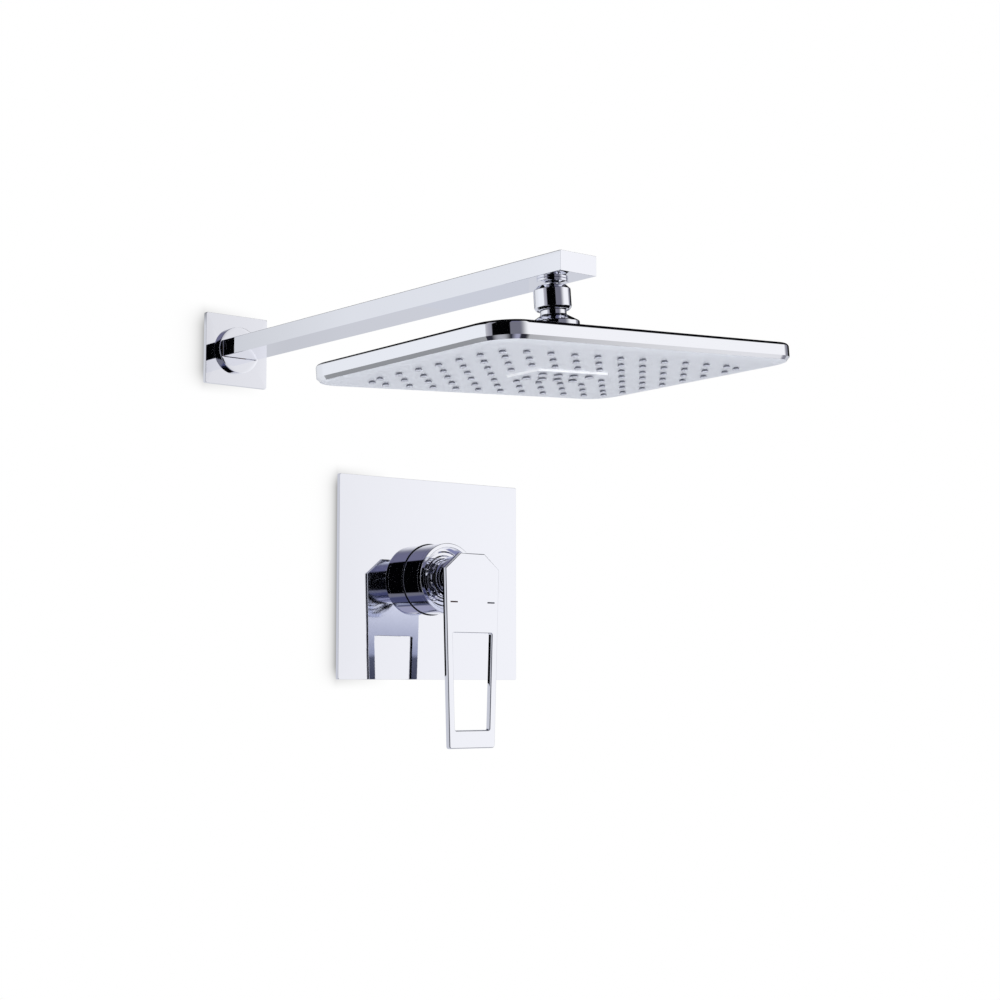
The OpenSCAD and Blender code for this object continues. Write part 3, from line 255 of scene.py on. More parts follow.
FINISH = {"chrome": chrome, "brass": cast_brass, "steel": stainless, "spray_plastic": pale_abs,
          "plastic": acetal, "dark_plastic": black_plastic, "silicone": nozzle_silicone, "rubber": nitrile,
          "foam": foam, "ceramic": alumina, "red": red_enamel, "blue": blue_enamel}
slot_of_node = {s["node"]: s["material_slot"] for s in frame["record"]["subparts"]}
for name, obj in frame["nodes"].items():
    obj.data.materials.clear()
    obj.data.materials.append(FINISH[slot_of_node[name]])


# Mesh tools
def smooth_by_angle(mesh, degrees):
    """Smooth shading that keeps edges sharper than this angle."""
    mesh.shade_smooth()
    bm = bmesh.new()
    bm.from_mesh(mesh)
    limit = math.radians(degrees)
    for e in bm.edges:
        e.smooth = len(e.link_faces) == 2 and e.calc_face_angle(0) < limit
    bm.to_mesh(mesh)
    bm.free()


def evaluated_mesh(obj):
    """The object's mesh with its modifiers applied, as a new mesh."""
    bpy.context.view_layer.update()
    return bpy.data.meshes.new_from_object(obj.evaluated_get(bpy.context.evaluated_depsgraph_get()))


def settle_normals(obj):
    """Lets the large faces lead the normals at their edges, so that flats mirror as flats do."""
    lead = obj.modifiers.new("lead", "WEIGHTED_NORMAL")
    lead.mode = "FACE_AREA"
    lead.weight = 100
    lead.keep_sharp = True
    mesh = evaluated_mesh(obj)
    obj.modifiers.remove(lead)
    old, obj.data = obj.data, mesh
    mesh.name = old.name
    bpy.data.meshes.remove(old)


def piece(name, bm, place, finish, body, stands_for=(), sharp=35):
    """Turns a bmesh in millimetres into a placed piece with this finish that rides on its body, and hides the
    CAD nodes that it stands for."""
    bmesh.ops.remove_doubles(bm, verts=bm.verts, dist=1e-5)
    bmesh.ops.recalc_face_normals(bm, faces=bm.faces)
    bm.transform(Matrix.Scale(MM, 4) @ place)
    mesh = bpy.data.meshes.new(name)
    bm.to_mesh(mesh)
    bm.free()
    smooth_by_angle(mesh, sharp)
    mesh.materials.append(finish)
    obj = put(name, mesh)
    settle_normals(obj)
    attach(obj, body)
    if stands_for:
        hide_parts(*stands_for)
    return obj


def arc(cx, cy, r, a0, a1, steps):
    """Points on an arc, angles in degrees."""
    return [(cx + r * math.cos(math.radians(a0 + (a1 - a0) * k / steps)),
             cy + r * math.sin(math.radians(a0 + (a1 - a0) * k / steps))) for k in range(steps + 1)]


def eased(corners, steps=5):
    """A profile whose corners are (x, y), left sharp, or (x, y, radius), rounded."""
    out = []
    for k, (x, y, *radius) in enumerate(corners):
        if not radius:
            out.append((x, y))
            continue
        p, a, b = Vector((x, y)), Vector(corners[k - 1][:2]), Vector(corners[k + 1][:2])
        u, w = (a - p).normalized(), (b - p).normalized()
        half = u.angle(w) / 2
        reach = min(radius[0] / math.tan(half), (a - p).length * 0.49, (b - p).length * 0.49)
        r = reach * math.tan(half)
        centre = p + (u + w).normalized() * (r / math.sin(half))
        s, e = p + u * reach - centre, p + w * reach - centre
        turn = s.angle_signed(e)
        for i in range(steps + 1):
            q = s.copy()
            q.rotate(Matrix.Rotation(-turn * i / steps, 2))
            out.append(tuple(centre + q))
    return out


def turned(profile, steps=96):
    """A solid of revolution about z from a closed profile of (radius, z)."""
    bm = bmesh.new()
    rows = []
    for k in range(steps):
        a = 2 * math.pi * k / steps
        rows.append([bm.verts.new((r * math.cos(a), r * math.sin(a), z)) for r, z in profile])
    n = len(profile)
    for k in range(steps):
        a, b = rows[k], rows[(k + 1) % steps]
        for i in range(n):
            j = (i + 1) % n
            on_axis = profile[i][0] < 1e-6 and profile[j][0] < 1e-6
            if not on_axis:
                bm.faces.new((a[i], a[j], b[j], b[i]))
    bmesh.ops.remove_doubles(bm, verts=bm.verts, dist=1e-5)
    return bm


def round_rect(w, h, r, steps=6):
    """Points around a rounded rectangle, anticlockwise."""
    points = []
    for sx, sy, start in ((1, 1, 0), (-1, 1, 90), (-1, -1, 180), (1, -1, 270)):
        points += arc(sx * (w / 2 - r), sy * (h / 2 - r), r, start, start + 90, steps)
    return points


def oblong(w, d, r, z, lift=None):
    """A rounded rectangle at a height, with points along its sides too; lift gives each point's own rise."""
    corners = round_rect(w, d, r, PER_CORNER)
    points = []
    for k, (x, y) in enumerate(corners):
        points.append((x, y))
        if (k + 1) % (PER_CORNER + 1) == 0:
            x1, y1 = corners[(k + 1) % len(corners)]
            points += [(x + (x1 - x) * i / PER_SIDE, y + (y1 - y) * i / PER_SIDE) for i in range(1, PER_SIDE)]
    return [(x, y, z + (lift(x, y) if lift else 0)) for x, y in points]


def loft(loops, closed_start=True, closed_end=True):
    """A skin through loops of equal length; closed ends get a flat cap."""
    bm = bmesh.new()
    rows = [[bm.verts.new(p) for p in loop] for loop in loops]
    n = len(rows[0])
    for a, b in zip(rows, rows[1:]):
        for i in range(n):
            bm.faces.new((a[i], a[(i + 1) % n], b[(i + 1) % n], b[i]))
    if closed_start:
        bm.faces.new(rows[0])
    if closed_end:
        bm.faces.new(rows[-1])
    return bm


def offset(loop, d):
    """A loop moved inwards by d; it runs anticlockwise in its own two axes."""
    out = []
    for k, p in enumerate(loop):
        p, a, b = Vector(p), Vector(loop[k - 1]), Vector(loop[(k + 1) % len(loop)])
        u, w = (p - a).normalized(), (b - p).normalized()
        m, n = Vector((-u.y, u.x)), Vector((-w.y, w.x))
        out.append(tuple(p + (m + n) * (d / max(0.3, 1 + m.dot(n)))))
    return out


def plate_with_edges(outer, opening, profile):
    """A plate in X and Z whose sides follow a profile of (inset, y), from its back to its front. Its opening
    widens by the same insets."""
    bm = bmesh.new()
    backs, fronts = [], []
    for loop, sign in ((outer, 1), (opening, -1)):
        rows = [[bm.verts.new((x, y, z)) for x, z in offset(loop, sign * inset)] for inset, y in profile]
        n = len(loop)
        for r0, r1 in zip(rows, rows[1:]):
            for i in range(n):
                bm.faces.new((r0[i], r0[(i + 1) % n], r1[(i + 1) % n], r1[i]))
        backs.append(rows[0])
        fronts.append(rows[-1])
    for side in (backs, fronts):
        edges = [bm.edges.get((row[i], row[(i + 1) % len(row)])) for row in side for i in range(len(row))]
        bmesh.ops.triangle_fill(bm, edges=edges, use_beauty=True, use_dissolve=False)
    return bm


def joined(*parts):
    """Several bmeshes as one."""
    whole = parts[0]
    for part in parts[1:]:
        spare = bpy.data.meshes.new("spare")
        part.to_mesh(spare)
        part.free()
        whole.from_mesh(spare)
        bpy.data.meshes.remove(spare)
    return whole


# Swivel, in heights above the ball's centre: ring, neck and ball of the stud in one turning
BALL_R, NECK_R, RING_R, STUD_R, BORE_R = 8.0, 4.1, 9.4, 5.8, 2.6
RING_LOW, RING_HIGH, STUD_TOP = 10.2, 12.0, 20.3
ball = arc(0, 0, BALL_R, -71, 59.2, 26)
neck = eased([(NECK_R, 7.0), (NECK_R, RING_LOW, 1.2), (RING_R, RING_LOW, 0.45), (RING_R, RING_HIGH, 0.3),
              (STUD_R, RING_HIGH), (STUD_R, STUD_TOP), (BORE_R, STUD_TOP), (BORE_R, -7.57)])
piece("ball_stud_turned", turned(ball + neck), AT_BALL, chrome, "wall_unit", ("ball_stud",))

# Swivel nut: bevelled above and below, with a flared mouth for the neck
NUT_R, NUT_BORE_R, NUT_LOW, NUT_TOP = 11.1, 9.95, -6.5, 8.0
nut = eased([(6.7, NUT_TOP), (8.9, NUT_TOP, 0.3), (NUT_R, 5.7, 0.7), (NUT_R, -4.9, 0.9), (10.0, NUT_LOW, 0.2),
             (9.55, NUT_LOW), (NUT_BORE_R, -6.0), (NUT_BORE_R, 0.0), (8.35, 0.0), (7.5, 3.1), (5.95, 5.6)])
piece("swivel_nut_turned", turned(nut), AT_NUT, chrome, "nut", ("swivel_nut",))

# Hub, in heights above the rim's upper edge: threaded neck, collar with a sloping shoulder, and foot
HUB_R, HUB_FOOT, TAIL_R, THREAD_R, WAIST_R, CUP_R = 15.2, 8.0, 4.4, 9.84, 7.8, 5.6
nut_z = BALL_UP + NUT_LOW               # the nut's lower face
hub = eased([(HUB_R, HUB_FOOT), (HUB_R, nut_z - 7.4, 1.0), (8.7, nut_z - 3.5, 0.4),
             (WAIST_R, nut_z - 2.9, 0.4), (WAIST_R, nut_z + 0.2), (THREAD_R, nut_z + 0.6, 0.2),
             (THREAD_R, nut_z + 5.7, 0.2), (9.1, nut_z + 5.7), (WAIST_R, nut_z + 1.8), (CUP_R, nut_z - 0.6),
             (CUP_R, nut_z - 6.8), (TAIL_R, nut_z - 6.8), (TAIL_R, -0.5, 0.3), (8.0, -0.5), (8.0, HUB_FOOT)])
piece("head_hub_turned", turned(hub), AT_HEAD, chrome, "head", ("head_hub",))


# Head
def rings(profile, w=HEAD_W, d=HEAD_D, r=HEAD_R, lift=None):
    """Oblong loops from a profile of (inset, z)."""
    return [oblong(w - 2 * inset, d - 2 * inset, max(0.4, r - inset), z, lift) for inset, z in profile]


def roof_rings(profile):
    """Oblong loops of the shallow roof: share 0 is its foot, 1 the edge of its flat middle."""
    foot_w, foot_d = HEAD_W - 2 * ROOF_IN, HEAD_D - 2 * ROOF_IN
    return [oblong(foot_w + share * (ROOF_W - foot_w), foot_d + share * (ROOF_D - foot_d),
                   HEAD_R - ROOF_IN, z) for share, z in profile]


# Shell: from the inner side of the narrow lip under the rim, round it, up the rim and over its rounded upper
# edge, on the roof to its middle, and back inside the wall
skin = rings(eased([(LIP_SIDE, -6.2), (LIP_SIDE, FACE_EDGE), (LIP, FACE_EDGE), (0.25, -RIM_H + 0.45),
                    (0, -RIM_H + 0.35), (0, 0.0, RIM_EDGE), (5.4, 0.82)], 8))
skin += roof_rings([(t / 8, ROOF_LOW + ROOF_RISE * t / 8) for t in range(1, 8)]
                   + [(0.97, 6.78), (1.03, 6.97), (1.1, ROOF_TOP)])
inside = roof_rings([(1.1, ROOF_TOP - SHELL_WALL)]
                    + [(t / 4, ROOF_LOW - SHELL_WALL + ROOF_RISE * t / 4) for t in range(3, -1, -1)])
inside += rings([(SHELL_WALL, -2.6)])
shell = joined(loft(skin, closed_start=False), loft(inside + [skin[0]], closed_end=False))
piece("head_shell_pressed", shell, AT_HEAD, pressed_chrome, "head", ("head_shell",), sharp=20)


def crown(x, y):
    """How the spray face swells downwards from its shoulder to the middle, as a rise below zero."""
    u, v = abs(x) / (HEAD_W / 2 - SHOULDER), abs(y) / (HEAD_D / 2 - SHOULDER)
    return -CROWN * (1 - min(1, u) ** 2) * (1 - min(1, v) ** 2)


def between(a, b, t):
    """The value a share t of the way from a to b."""
    return a * (1 - t) + b * t


# Spray face: a soft shoulder inside the lip, then the crowned field around the panel
loops = rings([(FACE_SIDE, -RIM_H), (FACE_SIDE, FACE_EDGE + 0.15)])
for t in (0.03, 0.12, 0.25, 0.45, 0.7, 1):
    loops += rings([(LIP + (SHOULDER - LIP) * t, FACE_EDGE + (FACE_Z - FACE_EDGE) * (1 - (1 - t) ** 2))])
FIELD_STEPS = 30
for k in range(1, FIELD_STEPS + 1):
    t = k / FIELD_STEPS
    loops.append(oblong(between(HEAD_W - 2 * SHOULDER, PANEL_W - TUCK, t),
                        between(HEAD_D - 2 * SHOULDER, PANEL_D - TUCK, t),
                        between(HEAD_R - SHOULDER, 1.4, t), FACE_Z, crown))
piece("spray_face_moulded", loft(loops), AT_HEAD, pale_abs, "head", ("spray_face",), sharp=60)

# Middle panel: a raised oblong inside a bevel, made white as a painted highlight
PANEL_Z = FACE_Z - PANEL_OUT
BEVEL_IN = PANEL_BEVEL + 0.3
bevel = rings([(0.0, FACE_Z + 0.5), (0.0, FACE_Z - 0.15), (PANEL_BEVEL, PANEL_Z), (BEVEL_IN, PANEL_Z),
               (BEVEL_IN, FACE_Z + 0.5)], PANEL_W, PANEL_D, PANEL_R, crown)
piece("panel_bevel", loft(bevel + bevel[:1], closed_start=False, closed_end=False), AT_HEAD, white_abs,
      "head", sharp=20)
field_w, field_d = PANEL_W - 2 * BEVEL_IN, PANEL_D - 2 * BEVEL_IN
PANEL_STEPS = 7
loops = [oblong(field_w, field_d, 0.6, FACE_Z + 0.4, crown)]
for k in range(PANEL_STEPS):
    t = k / PANEL_STEPS
    loops.append(oblong(between(field_w, 20, t), between(field_d, 6, t), 0.5, PANEL_Z, crown))
piece("centre_panel_moulded", loft(loops), AT_HEAD, pale_abs, "head", ("centre_panel",), sharp=50)


def nozzle_places():
    """Where the nozzles stand: on the spray face, and on the middle panel."""
    columns, rows, corner_in, clear = 12, 8, 4.5, 1.9
    spray, panel = [], []
    for i in range(columns):
        for j in range(rows):
            x, y = (i - (columns - 1) / 2) * PITCH, (j - (rows - 1) / 2) * ROW_PITCH
            if i in (0, columns - 1) and j in (0, rows - 1):
                x -= math.copysign(corner_in, x)
                y -= math.copysign(corner_in, y)
            if abs(x) > PANEL_W / 2 + clear or abs(y) > PANEL_D / 2 + clear:
                spray.append((x, y, FACE_Z + crown(x, y)))
    for i in range(4):
        for j in range(2):
            x, y = (i - 1.5) * PANEL_PITCH[0], (j - 0.5) * PANEL_PITCH[1]
            panel.append((x, y, FACE_Z + crown(x, y) - PANEL_OUT))
    return spray, panel


def growing_tree():
    """Geometry Nodes: the shape stands on every point, as wide and as tall as the inputs say."""
    tree = bpy.data.node_groups.new("row_of_nubs", "GeometryNodeTree")
    for label, kind in (("Points", "Geometry"), ("Shape", "Object"), ("Radius", "Float"),
                        ("Height", "Float"), ("Finish", "Material")):
        tree.interface.new_socket(label, in_out="INPUT", socket_type="NodeSocket" + kind)
    tree.interface.new_socket("Nubs", in_out="OUTPUT", socket_type="NodeSocketGeometry")
    given = add(tree, "NodeGroupInput").outputs
    shape = add(tree, "GeometryNodeObjectInfo", {"Object": given["Shape"]}).outputs["Geometry"]
    size = add(tree, "ShaderNodeCombineXYZ", {
        "X": given["Radius"], "Y": given["Radius"], "Z": given["Height"]}).outputs[0]
    placed = add(tree, "GeometryNodeInstanceOnPoints", {
        "Points": given["Points"], "Instance": shape, "Scale": size})
    real = add(tree, "GeometryNodeRealizeInstances", {"Geometry": placed.outputs["Instances"]})
    done = add(tree, "GeometryNodeSetMaterial", {
        "Geometry": real.outputs["Geometry"], "Material": given["Finish"]})
    add(tree, "NodeGroupOutput", {"Nubs": done.outputs["Geometry"]})
    return tree


def grow(tree, shape, places, size, finish):
    """Runs the tree on these places with a size of (radius, height); its mesh comes back in millimetres."""
    points = bpy.data.meshes.new("places")
    points.from_pydata([Vector(p) * MM for p in places], [], [])
    bmesh.ops.recalc_face_normals(shape, faces=shape.faces)
    model = bpy.data.meshes.new("shape")
    shape.to_mesh(model)
    shape.free()
    holder, one = put("places", points), put("shape", model)
    nubs = holder.modifiers.new("nubs", "NODES")
    nubs.node_group = tree
    ids = {s.name: s.identifier for s in tree.interface.items_tree if s.in_out == "INPUT"}
    nubs[ids["Shape"]] = one
    nubs[ids["Radius"]] = size[0] * MM
    nubs[ids["Height"]] = size[1] * MM
    nubs[ids["Finish"]] = finish
    mesh = evaluated_mesh(holder)
    for obj in (holder, one):
        bpy.data.objects.remove(obj)
    bm = bmesh.new()
    bm.from_mesh(mesh)
    bpy.data.meshes.remove(mesh)
    bm.transform(Matrix.Scale(1 / MM, 4))
    return bm


# Shapes of radius 1 and height 1, hanging from z = 0: the silicone nozzle widens like a bell from its waist,
# and a harder ring of grey plastic holds its mouth
NUB_STEPS = 24


def bell():
    flank = [(r * 1.04, z) for r, z in arc(0.30, -0.62, 0.62, 62, 0, 6)]
    bore = [(0.92, -0.66), (0.24, -0.66), (0.20, -0.9), (0.1, -0.9), (0.1, -0.5), (0.0, -0.5)]
    return turned([(0.0, 0.15), (0.42, 0.15)] + flank + bore, NUB_STEPS)


def mouth():
    return turned(eased([(0.24, -0.64), (1.0, -0.64, 0.03), (1.0, -1.0, 0.16), (0.45, -1.0, 0.1),
                         (0.24, -0.86)], 4), NUB_STEPS)


def all_nozzles(tree, shape, finish):
    """The shape on the spray face and, wider, on the middle panel."""
    spray, panel = nozzle_places()
    return joined(grow(tree, shape(), spray, (2.2, 1.8), finish),
                  grow(tree, shape(), panel, (2.9, 1.7), finish))


tree = growing_tree()
piece("nozzle_mouths", all_nozzles(tree, mouth, grey_abs), AT_HEAD, grey_abs, "head",
      sharp=50)
piece("nozzle_bells", all_nozzles(tree, bell, nozzle_silicone), AT_HEAD, nozzle_silicone, "head",
      ("nozzle_mat",), sharp=50)

# Arm: flat bar with crisp edges, from inside the boss to its end face
BAR_R, BAR_TAIL = 0.35, -5.6
CAP = 3.0                               # inset of the end caps inside a flat band
loops = []
for inset, y in eased([(CAP, -REACH), (0.0, -REACH, 0.1), (0.0, BAR_TAIL), (CAP, BAR_TAIL)], 4):
    outline = round_rect(BAR_W - 2 * inset, BAR_H - 2 * inset, max(0.1, BAR_R - inset), 5)
    loops.append([(x, y, z) for x, z in outline])
piece("arm_bar_drawn", loft(loops), ROW, chrome, "wall_unit", ("arm_bar",))

# Flange: thin square plate with its round boss, both with crisp edges and the bar's opening
slot_hole = round_rect(BAR_W + 0.3, BAR_H + 0.3, 0.95)
piece("arm_flange_pressed", plate_with_edges(round_rect(FLANGE, FLANGE, PLATE_R), slot_hole, PLATE_EDGE),
      ROW, chrome, "wall_unit", ("arm_flange",), sharp=30)
boss_edge = [(0, -PLATE_T + 0.1), (0, BOSS_Y + 0.4), (0.12, BOSS_Y + 0.12), (0.4, BOSS_Y)]
piece("arm_flange_boss", plate_with_edges(arc(0, 0, BOSS_R, 0, 355, 71), slot_hole, boss_edge), ROW, chrome,
      "wall_unit", sharp=30)

# Mixer's trim: the plate's hole leaves a dark seam round the sleeve
hole = arc(0, 0, SLEEVE_R + 0.65, 0, 355, 71)
piece("trim_plate_pressed", plate_with_edges(round_rect(PLATE_W, PLATE_H, PLATE_R), hole, PLATE_EDGE),
      AT_MIXER, chrome, "wall_unit", ("trim_plate",), sharp=30)


def turned_on_mixer(name, profile, finish, body, stands_for=(), steps=128):
    """A piece turned about the mixer's axis from a profile of (radius, y)."""
    return piece(name, turned(profile, steps), AT_MIXER @ ALONG_Y, finish, body, stands_for)


sleeve = eased([(SLEEVE_IN, 8.0), (SLEEVE_IN, BEZEL_Y + BEZEL_LEN), (SLEEVE_R, BEZEL_Y + BEZEL_LEN, 0.12),
                (SLEEVE_R, 8.0)])
turned_on_mixer("sleeve_drawn", sleeve, chrome, "wall_unit", ("sleeve",))

# Bezel: a bead of light on its rounded front edge
BEZEL_IN, SPIGOT_R = 24.3, 25.94
floor_y = BEZEL_Y + RECESS
bezel = eased([(BEZEL_IN, floor_y), (BEZEL_IN, BEZEL_Y, 0.5), (SLEEVE_R, BEZEL_Y, 0.5),
               (SLEEVE_R, BEZEL_Y + BEZEL_LEN, 0.1), (SPIGOT_R, BEZEL_Y + BEZEL_LEN), (SPIGOT_R, floor_y)])
turned_on_mixer("bezel_ring_turned", bezel, chrome, "wall_unit", ("bezel_ring",))

# Recess floor: stepped rings around the cartridge
cover = eased([(15.7, floor_y + 1.5), (15.7, floor_y - 0.6, 0.4), (17.2, floor_y - 0.6, 0.6),
               (18.4, floor_y + 0.3, 0.5), (20.4, floor_y + 0.3, 0.5), (21.6, floor_y - 0.3, 0.3),
               (SPIGOT_R, floor_y), (SPIGOT_R, floor_y + 1.5)], 4)
turned_on_mixer("recess_cover_turned", cover, chrome, "wall_unit", ("recess_cover",))

# Bright ring on the cartridge's mouth and one on the rotor, with a dark gap between them
mouth_y = BEZEL_Y + 3.6
mouth_ring = eased([(12.6, mouth_y + 0.4), (12.6, mouth_y - 0.3, 0.2), (13.9, mouth_y - 0.3, 0.25),
                    (15.5, mouth_y + 2.2), (15.2, mouth_y + 2.2), (15.2, mouth_y + 0.4)], 4)
turned_on_mixer("cartridge_mouth_ring", mouth_ring, chrome, "wall_unit")
rotor_ring = eased([(8.9, mouth_y + 0.8), (8.9, mouth_y - 0.5, 0.1), (9.5, mouth_y - 0.5, 0.1),
                    (10.4, mouth_y + 0.8)], 3)
turned_on_mixer("rotor_mouth_ring", rotor_ring, chrome, "turner", steps=96)
housing = [(17.4, -8.0), (17.4, 6.3), (13.9, 6.3), (13.9, mouth_y + 2.2), (10.5, mouth_y + 2.2),
           (10.5, mouth_y + 0.9), (12.4, mouth_y + 0.9), (12.4, mouth_y + 0.45), (15.15, mouth_y + 0.45),
           (15.15, mouth_y + 1.7), (15.4, mouth_y + 1.7), (15.4, -8.0)]
turned_on_mixer("cartridge_housing_moulded", housing, black_plastic, "wall_unit", ("cartridge_housing",),
                steps=96)

# Hub behind the handle, with a narrower spigot on the lever's stem
LEVER_HUB_R, SPIGOT_BACK, HUB_BACK = 17.0, -27.0, -31.0
hub = eased([(0, SPIGOT_BACK), (8.5, SPIGOT_BACK, 0.5), (8.5, HUB_BACK, 0.4), (LEVER_HUB_R, HUB_BACK, 0.8),
             (LEVER_HUB_R, HANDLE_Y), (0, HANDLE_Y)])
turned_on_mixer("handle_hub_turned", hub, chrome, "lever", ("handle_hub",), steps=96)

# Handle: its sides stand upright at the back, lean in a little and round over to the front
cut_z = HANDLE_UP - CUT_H               # where the cut corners start, above the mixer's axis


def handle_half(down):
    """Half width of the handle at a depth below the mixer's axis."""
    return HANDLE_HALF - (HANDLE_HALF - TIP_HALF) * (down + cut_z) / (HANDLE_DOWN + cut_z)


TIP_R, WINDOW_R = 2.0, 1.0
top, end = handle_half(WINDOW_TOP) - SIDE_BAR, handle_half(WINDOW_END) - SIDE_BAR
tip_x, tip_z = TIP_HALF - TIP_R, -HANDLE_DOWN + TIP_R
outer = (arc(tip_x, tip_z, TIP_R, -90, 0, 5)
         + [(HANDLE_HALF, cut_z), (HANDLE_HALF - CUT_W, HANDLE_UP),
            (-HANDLE_HALF + CUT_W, HANDLE_UP), (-HANDLE_HALF, cut_z)]
         + arc(-tip_x, tip_z, TIP_R, 180, 270, 5))
window = []
low_x, high_x = end - WINDOW_R, top - WINDOW_R
low_z, high_z = -WINDOW_END + WINDOW_R, -WINDOW_TOP - WINDOW_R
for x, z, start in ((low_x, low_z, -90), (high_x, high_z, 0), (-high_x, high_z, 90), (-low_x, low_z, 180)):
    window += arc(x, z, WINDOW_R, start, start + 90, 4)
front = HANDLE_Y - HANDLE_T + 0.04      # the two marks stand a hair proud of it
sides = eased([(0.25, HANDLE_Y), (0, HANDLE_Y - 0.25), (0, HANDLE_Y - 2.2), (0.5, front, 0.75), (1.8, front)])
handle = piece("handle_plate", plate_with_edges(outer, window, sides), AT_MIXER, chrome, "lever",
               ("handle",), sharp=19)
# The faces towards the wall take the chrome with painted shade, darker towards the tip
handle.data.materials.append(handle_back_painted_shade)
for face in handle.data.polygons:
    if face.normal.y > 0.9:
        face.material_index = 1


# Studio: wall, floor and cards, in metres
def glow(tree, colour, strength=1.0):
    """A flat tone that no light changes."""
    return add(tree, "ShaderNodeEmission", {"Color": colour, "Strength": strength}).outputs[0]


def matt(tree, grey):
    """Plain paint."""
    return add(tree, "ShaderNodeBsdfDiffuse", {"Color": (grey, grey, grey, 1)}).outputs[0]


def unseen(tree):
    """Nothing: rays go on through it."""
    return add(tree, "ShaderNodeBsdfTransparent").outputs[0]


def seen_from_behind(tree):
    return add(tree, "ShaderNodeNewGeometry").outputs["Backfacing"]


def by_ray(tree, plain, camera, mirrors):
    """One look for the camera, one for mirrors and one for all other light."""
    ray = add(tree, "ShaderNodeLightPath").outputs
    return mixed(tree, ray["Is Glossy Ray"], mixed(tree, ray["Is Camera Ray"], plain, camera), mirrors)


def plate_shade(t, x, z):
    """How much the two plates darken the wall to their left, from 0 to 1."""
    shade = 0.0
    # left edge, lower and upper end of each plate, how far its shade reaches, and how deep it is
    for left, low, high, reach, deep in ((-0.026, -0.026, 0.026, 0.0055, 0.55),
                                         (0.0925, -0.2403, -0.0838, 0.0045, 0.62)):
        fall = maths(t, "MULTIPLY", maths(t, "SUBTRACT", left, x), -1 / reach)
        part = maths(t, "MINIMUM", maths(t, "EXPONENT", fall), 1.0)
        for factor in (ranged(t, z, low - 0.009, low + 0.012, smooth=True),
                       ranged(t, z, high + 0.009, high - 0.012, smooth=True),
                       ranged(t, x, left + 0.050, left), deep):
            part = maths(t, "MULTIPLY", part, factor)
        shade = maths(t, "ADD", shade, part)
    return shade


def wall_in_mirrors(t, x, z):
    """The wall as polished metal sees it."""
    # its brightness changes from left to right: metres from the arm, and linear level
    span = 0.6
    stops = ((-0.50, 1.02), (-0.36, 0.99), (-0.30, 0.94), (-0.13, 0.90), (-0.05, 0.79), (0.045, 0.66),
             (0.10, 0.70), (0.20, 0.72), (0.27, 0.74), (0.34, 0.74), (0.45, 0.70), (0.58, 0.64))
    level = ramp(t, ranged(t, x, -span, span), [
        ((place + span) / (2 * span), (0.90 * shine, 0.92 * shine, (0.98 if place > 0 else 0.94) * shine, 1))
        for place, shine in stops])
    # grey above a line over the arm that rises to the left, and black still higher
    height = maths(t, "MULTIPLY_ADD", maths(t, "MINIMUM", x, 0.0), 0.33, z)
    strength = 1.0
    for start, stop, least in ((0.006, 0.022, 0.28), (0.06, 0.11, 0.02)):
        strength = maths(t, "MULTIPLY", strength, ranged(t, height, start, stop, 1.0, least, smooth=True))
    # low on the left it is duller, for the lip under the rim's left side
    dull = maths(t, "MULTIPLY", ranged(t, z, -0.288, -0.296, 0.0, 0.62), ranged(t, x, -0.02, -0.08))
    return glow(t, level, maths(t, "MULTIPLY", strength, maths(t, "SUBTRACT", 1.0, dull)))


def studio_wall():
    """Plain white wall with the plates' soft shade; from behind, the fittings show through it."""
    m, t = material("plain_white_wall")
    xyz = place_of(t)
    seen = glow(t, WHITE, maths(t, "SUBTRACT", 1.0, plate_shade(t, xyz["X"], xyz["Z"])))
    front = by_ray(t, matt(t, 0.8), seen, wall_in_mirrors(t, xyz["X"], xyz["Z"]))
    add(t, "ShaderNodeOutputMaterial", {"Surface": mixed(t, seen_from_behind(t), front, unseen(t))})
    return m


def studio_floor():
    """Plain pale floor; polished metal sees the studio's own light instead of it."""
    m, t = material("plain_pale_floor")
    add(t, "ShaderNodeOutputMaterial", {"Surface": by_ray(t, matt(t, 0.82), glow(t, WHITE), unseen(t))})
    return m


def one_sided_card(colour, mirrorings):
    """A card that only mirrors see, only from its front and only after this many mirrorings."""
    m, t = material("matt_card")
    early = maths(t, "LESS_THAN", add(t, "ShaderNodeLightPath").outputs["Glossy Depth"], mirrorings - 0.5)
    hidden = maths(t, "MAXIMUM", seen_from_behind(t), early)
    add(t, "ShaderNodeOutputMaterial", {"Surface": mixed(t, hidden, glow(t, linear(colour)), unseen(t))})
    return m


def sheet(name, corners, finish):
    """A four-cornered sheet of the studio."""
    mesh = bpy.data.meshes.new(name)
    mesh.from_pydata(corners, [], [(0, 1, 2, 3)])
    mesh.materials.append(finish)
    obj = put(name, mesh)
    return obj


LEFT, RIGHT, FRONT, FLOOR, CEILING = -4, 4, -5, -1.3, 3
BACK = 0.0004                           # a hair behind the plates' backs
sheet("studio_wall", [(LEFT, BACK, FLOOR), (RIGHT, BACK, FLOOR), (RIGHT, BACK, CEILING),
                      (LEFT, BACK, CEILING)], studio_wall())
# The photo joins two pictures, so its mixer doesn't mirror the arm and the head, nor its arm the mixer. A
# black card, seen from the wall's side, and a pale one, seen from the room, keep each out of the other's
# mirrors: colour, mirrorings before it is seen, y, left and right end, lower and upper end.
for name, colour, mirrorings, y, left, right, low, high in (
        ("card_behind_arm", "#020203", 2, -0.20, -0.02, 0.084, -0.16, 0.0),
        ("card_before_mixer", "#D1D4DC", 1, -0.07, 0.225, 0.0, -0.23, -0.05)):
    card = sheet(name, [(left, y, low), (left, y, high), (right, y, high), (right, y, low)],
                 one_sided_card(colour, mirrorings))
    card.visible_camera = card.visible_diffuse = card.visible_shadow = False
sheet("studio_floor", [(LEFT, FRONT, FLOOR), (RIGHT, FRONT, FLOOR), (RIGHT, BACK, FLOOR),
                       (LEFT, BACK, FLOOR)], studio_floor())


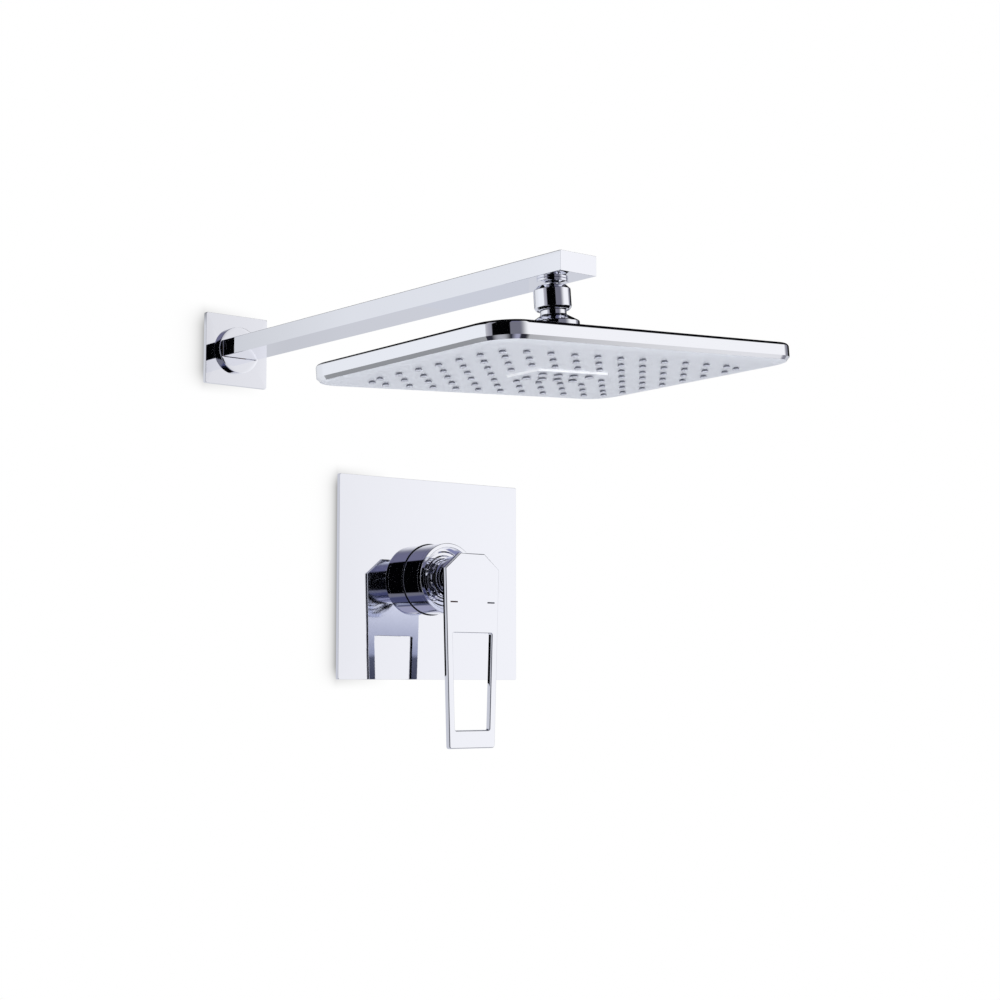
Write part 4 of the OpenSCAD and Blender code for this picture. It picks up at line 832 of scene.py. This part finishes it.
# Light
def studio_world():
    """White studio with the dark things that chrome needs: a dark zone on the camera's side, grey ones beside
    it, and a dark ceiling. Only polished surfaces see them."""
    world = bpy.data.worlds.new("studio")
    bpy.context.scene.world = world
    world.use_nodes = True
    t = world.node_tree
    t.nodes.clear()
    xyz = place_of(t, "Generated")
    west, south = (maths(t, "MULTIPLY", xyz[axis], -1.0) for axis in ("X", "Y"))
    turn = maths(t, "DEGREES", maths(t, "ARCTAN2", west, south))
    rise = maths(t, "DEGREES", maths(t, "ARCSINE", xyz["Z"]))
    slant = maths(t, "MULTIPLY_ADD", rise, 0.185, turn)

    def band(value, low, high, soft_low, soft_high):
        """1 between low and high, falling softly to 0 on both sides."""
        return maths(t, "MULTIPLY", ranged(t, value, low - soft_low, low + soft_low, smooth=True),
                     ranged(t, value, high + soft_high, high - soft_high, smooth=True))

    tone = WHITE
    # Azimuth is measured from straight out of the wall, positive to the left, and slant is an azimuth that
    # leans with height. Each row: colour, azimuth, its limits and their softness, elevation and its softness.
    for colour, across, limits, soft, heights, soft_heights in (
            ("#8A8A94", turn, (-118, -76), (10, 8), (-60, 60), (4, 4)),
            ("#767680", turn, (-24, 34), (17, 7), (-31, 60), (3, 3)),
            ("#9C9CA6", turn, (70, 100), (9, 22), (-30, 60), (4, 4)),
            ("#BFC0C8", turn, (-200, 200), (1, 1), (-95, -66), (1, 5)),
            ("#2C2C36", turn, (-200, 200), (1, 1), (-67, -36.5), (4, 8)),
            ("#75748C", turn, (-15, 30), (15, 9), (19.5, 95), (16.5, 3)),
            ("#08080C", turn, (-130, -42), (4, 3), (20, 60), (3, 3)),
            ("#4E5170", turn, (-6, 70), (5, 3), (-60, -29), (4, 1.5)),
            ("#A4A4BA", turn, (-37, -6), (4, 4), (-60, -24), (4, 4)),
            ("#101018", turn, (3, 9), (2, 2), (-60, -30), (4, 1.5)),
            ("#020203", slant, (23.5, 77), (1.2, 2), (-29, 47), (1.5, 1.5)),
            ("#060608", turn, (-200, 200), (1, 1), (44, 95), (3, 3))):
        mask = maths(t, "MULTIPLY", band(across, *limits, *soft), band(rise, *heights, *soft_heights))
        tone = blended(t, mask, tone, linear(colour))

    def sky(colour, strength):
        return add(t, "ShaderNodeBackground", {"Color": colour, "Strength": strength}).outputs[0]

    add(t, "ShaderNodeOutputWorld", {"Surface": by_ray(t, sky(WHITE, 0.75), sky(WHITE, 1.0), sky(tone, 1.0))})


studio_world()
# Soft boxes: one above the camera, one low in front that catches the slopes under the head
LAMP_W, LAMP_POWER = 1.6, 14
for name, place, aim, height in (("soft_box", (-1.1, -1.8, 1.2), (0.1, -0.1, -0.1), 1.2),
                                 ("low_soft_box", (-0.5, -2.0, -0.25), (0.0, -0.36, -0.06), 0.3)):
    lamp = bpy.data.lights.new(name, "AREA")
    lamp.shape = "RECTANGLE"
    lamp.size, lamp.size_y, lamp.energy = LAMP_W, height, LAMP_POWER
    box = put(name, lamp)
    box.location = place
    box.rotation_euler = (Vector(aim) - box.location).to_track_quat("-Z", "Y").to_euler()
    box.visible_glossy = False

# Camera, fitted to the photo's edges
FOCAL_PX, PHOTO_PX, SENSOR = 1901, 1000, 36
TILT, TURN = 5.6, -39.4                 # degrees up from the horizon, and about Z from facing the wall
cam = bpy.data.cameras.new("camera")
cam.sensor_width = SENSOR
cam.lens = FOCAL_PX * SENSOR / PHOTO_PX
cam.clip_start = 0.05
camera = put("camera", cam)
camera.location = (-0.7265, -1.1924, -0.2455)
camera.rotation_euler = (math.radians(90 + TILT), 0, math.radians(TURN))
bpy.context.scene.camera = camera

bpy.context.scene.view_settings.view_transform = "Standard"
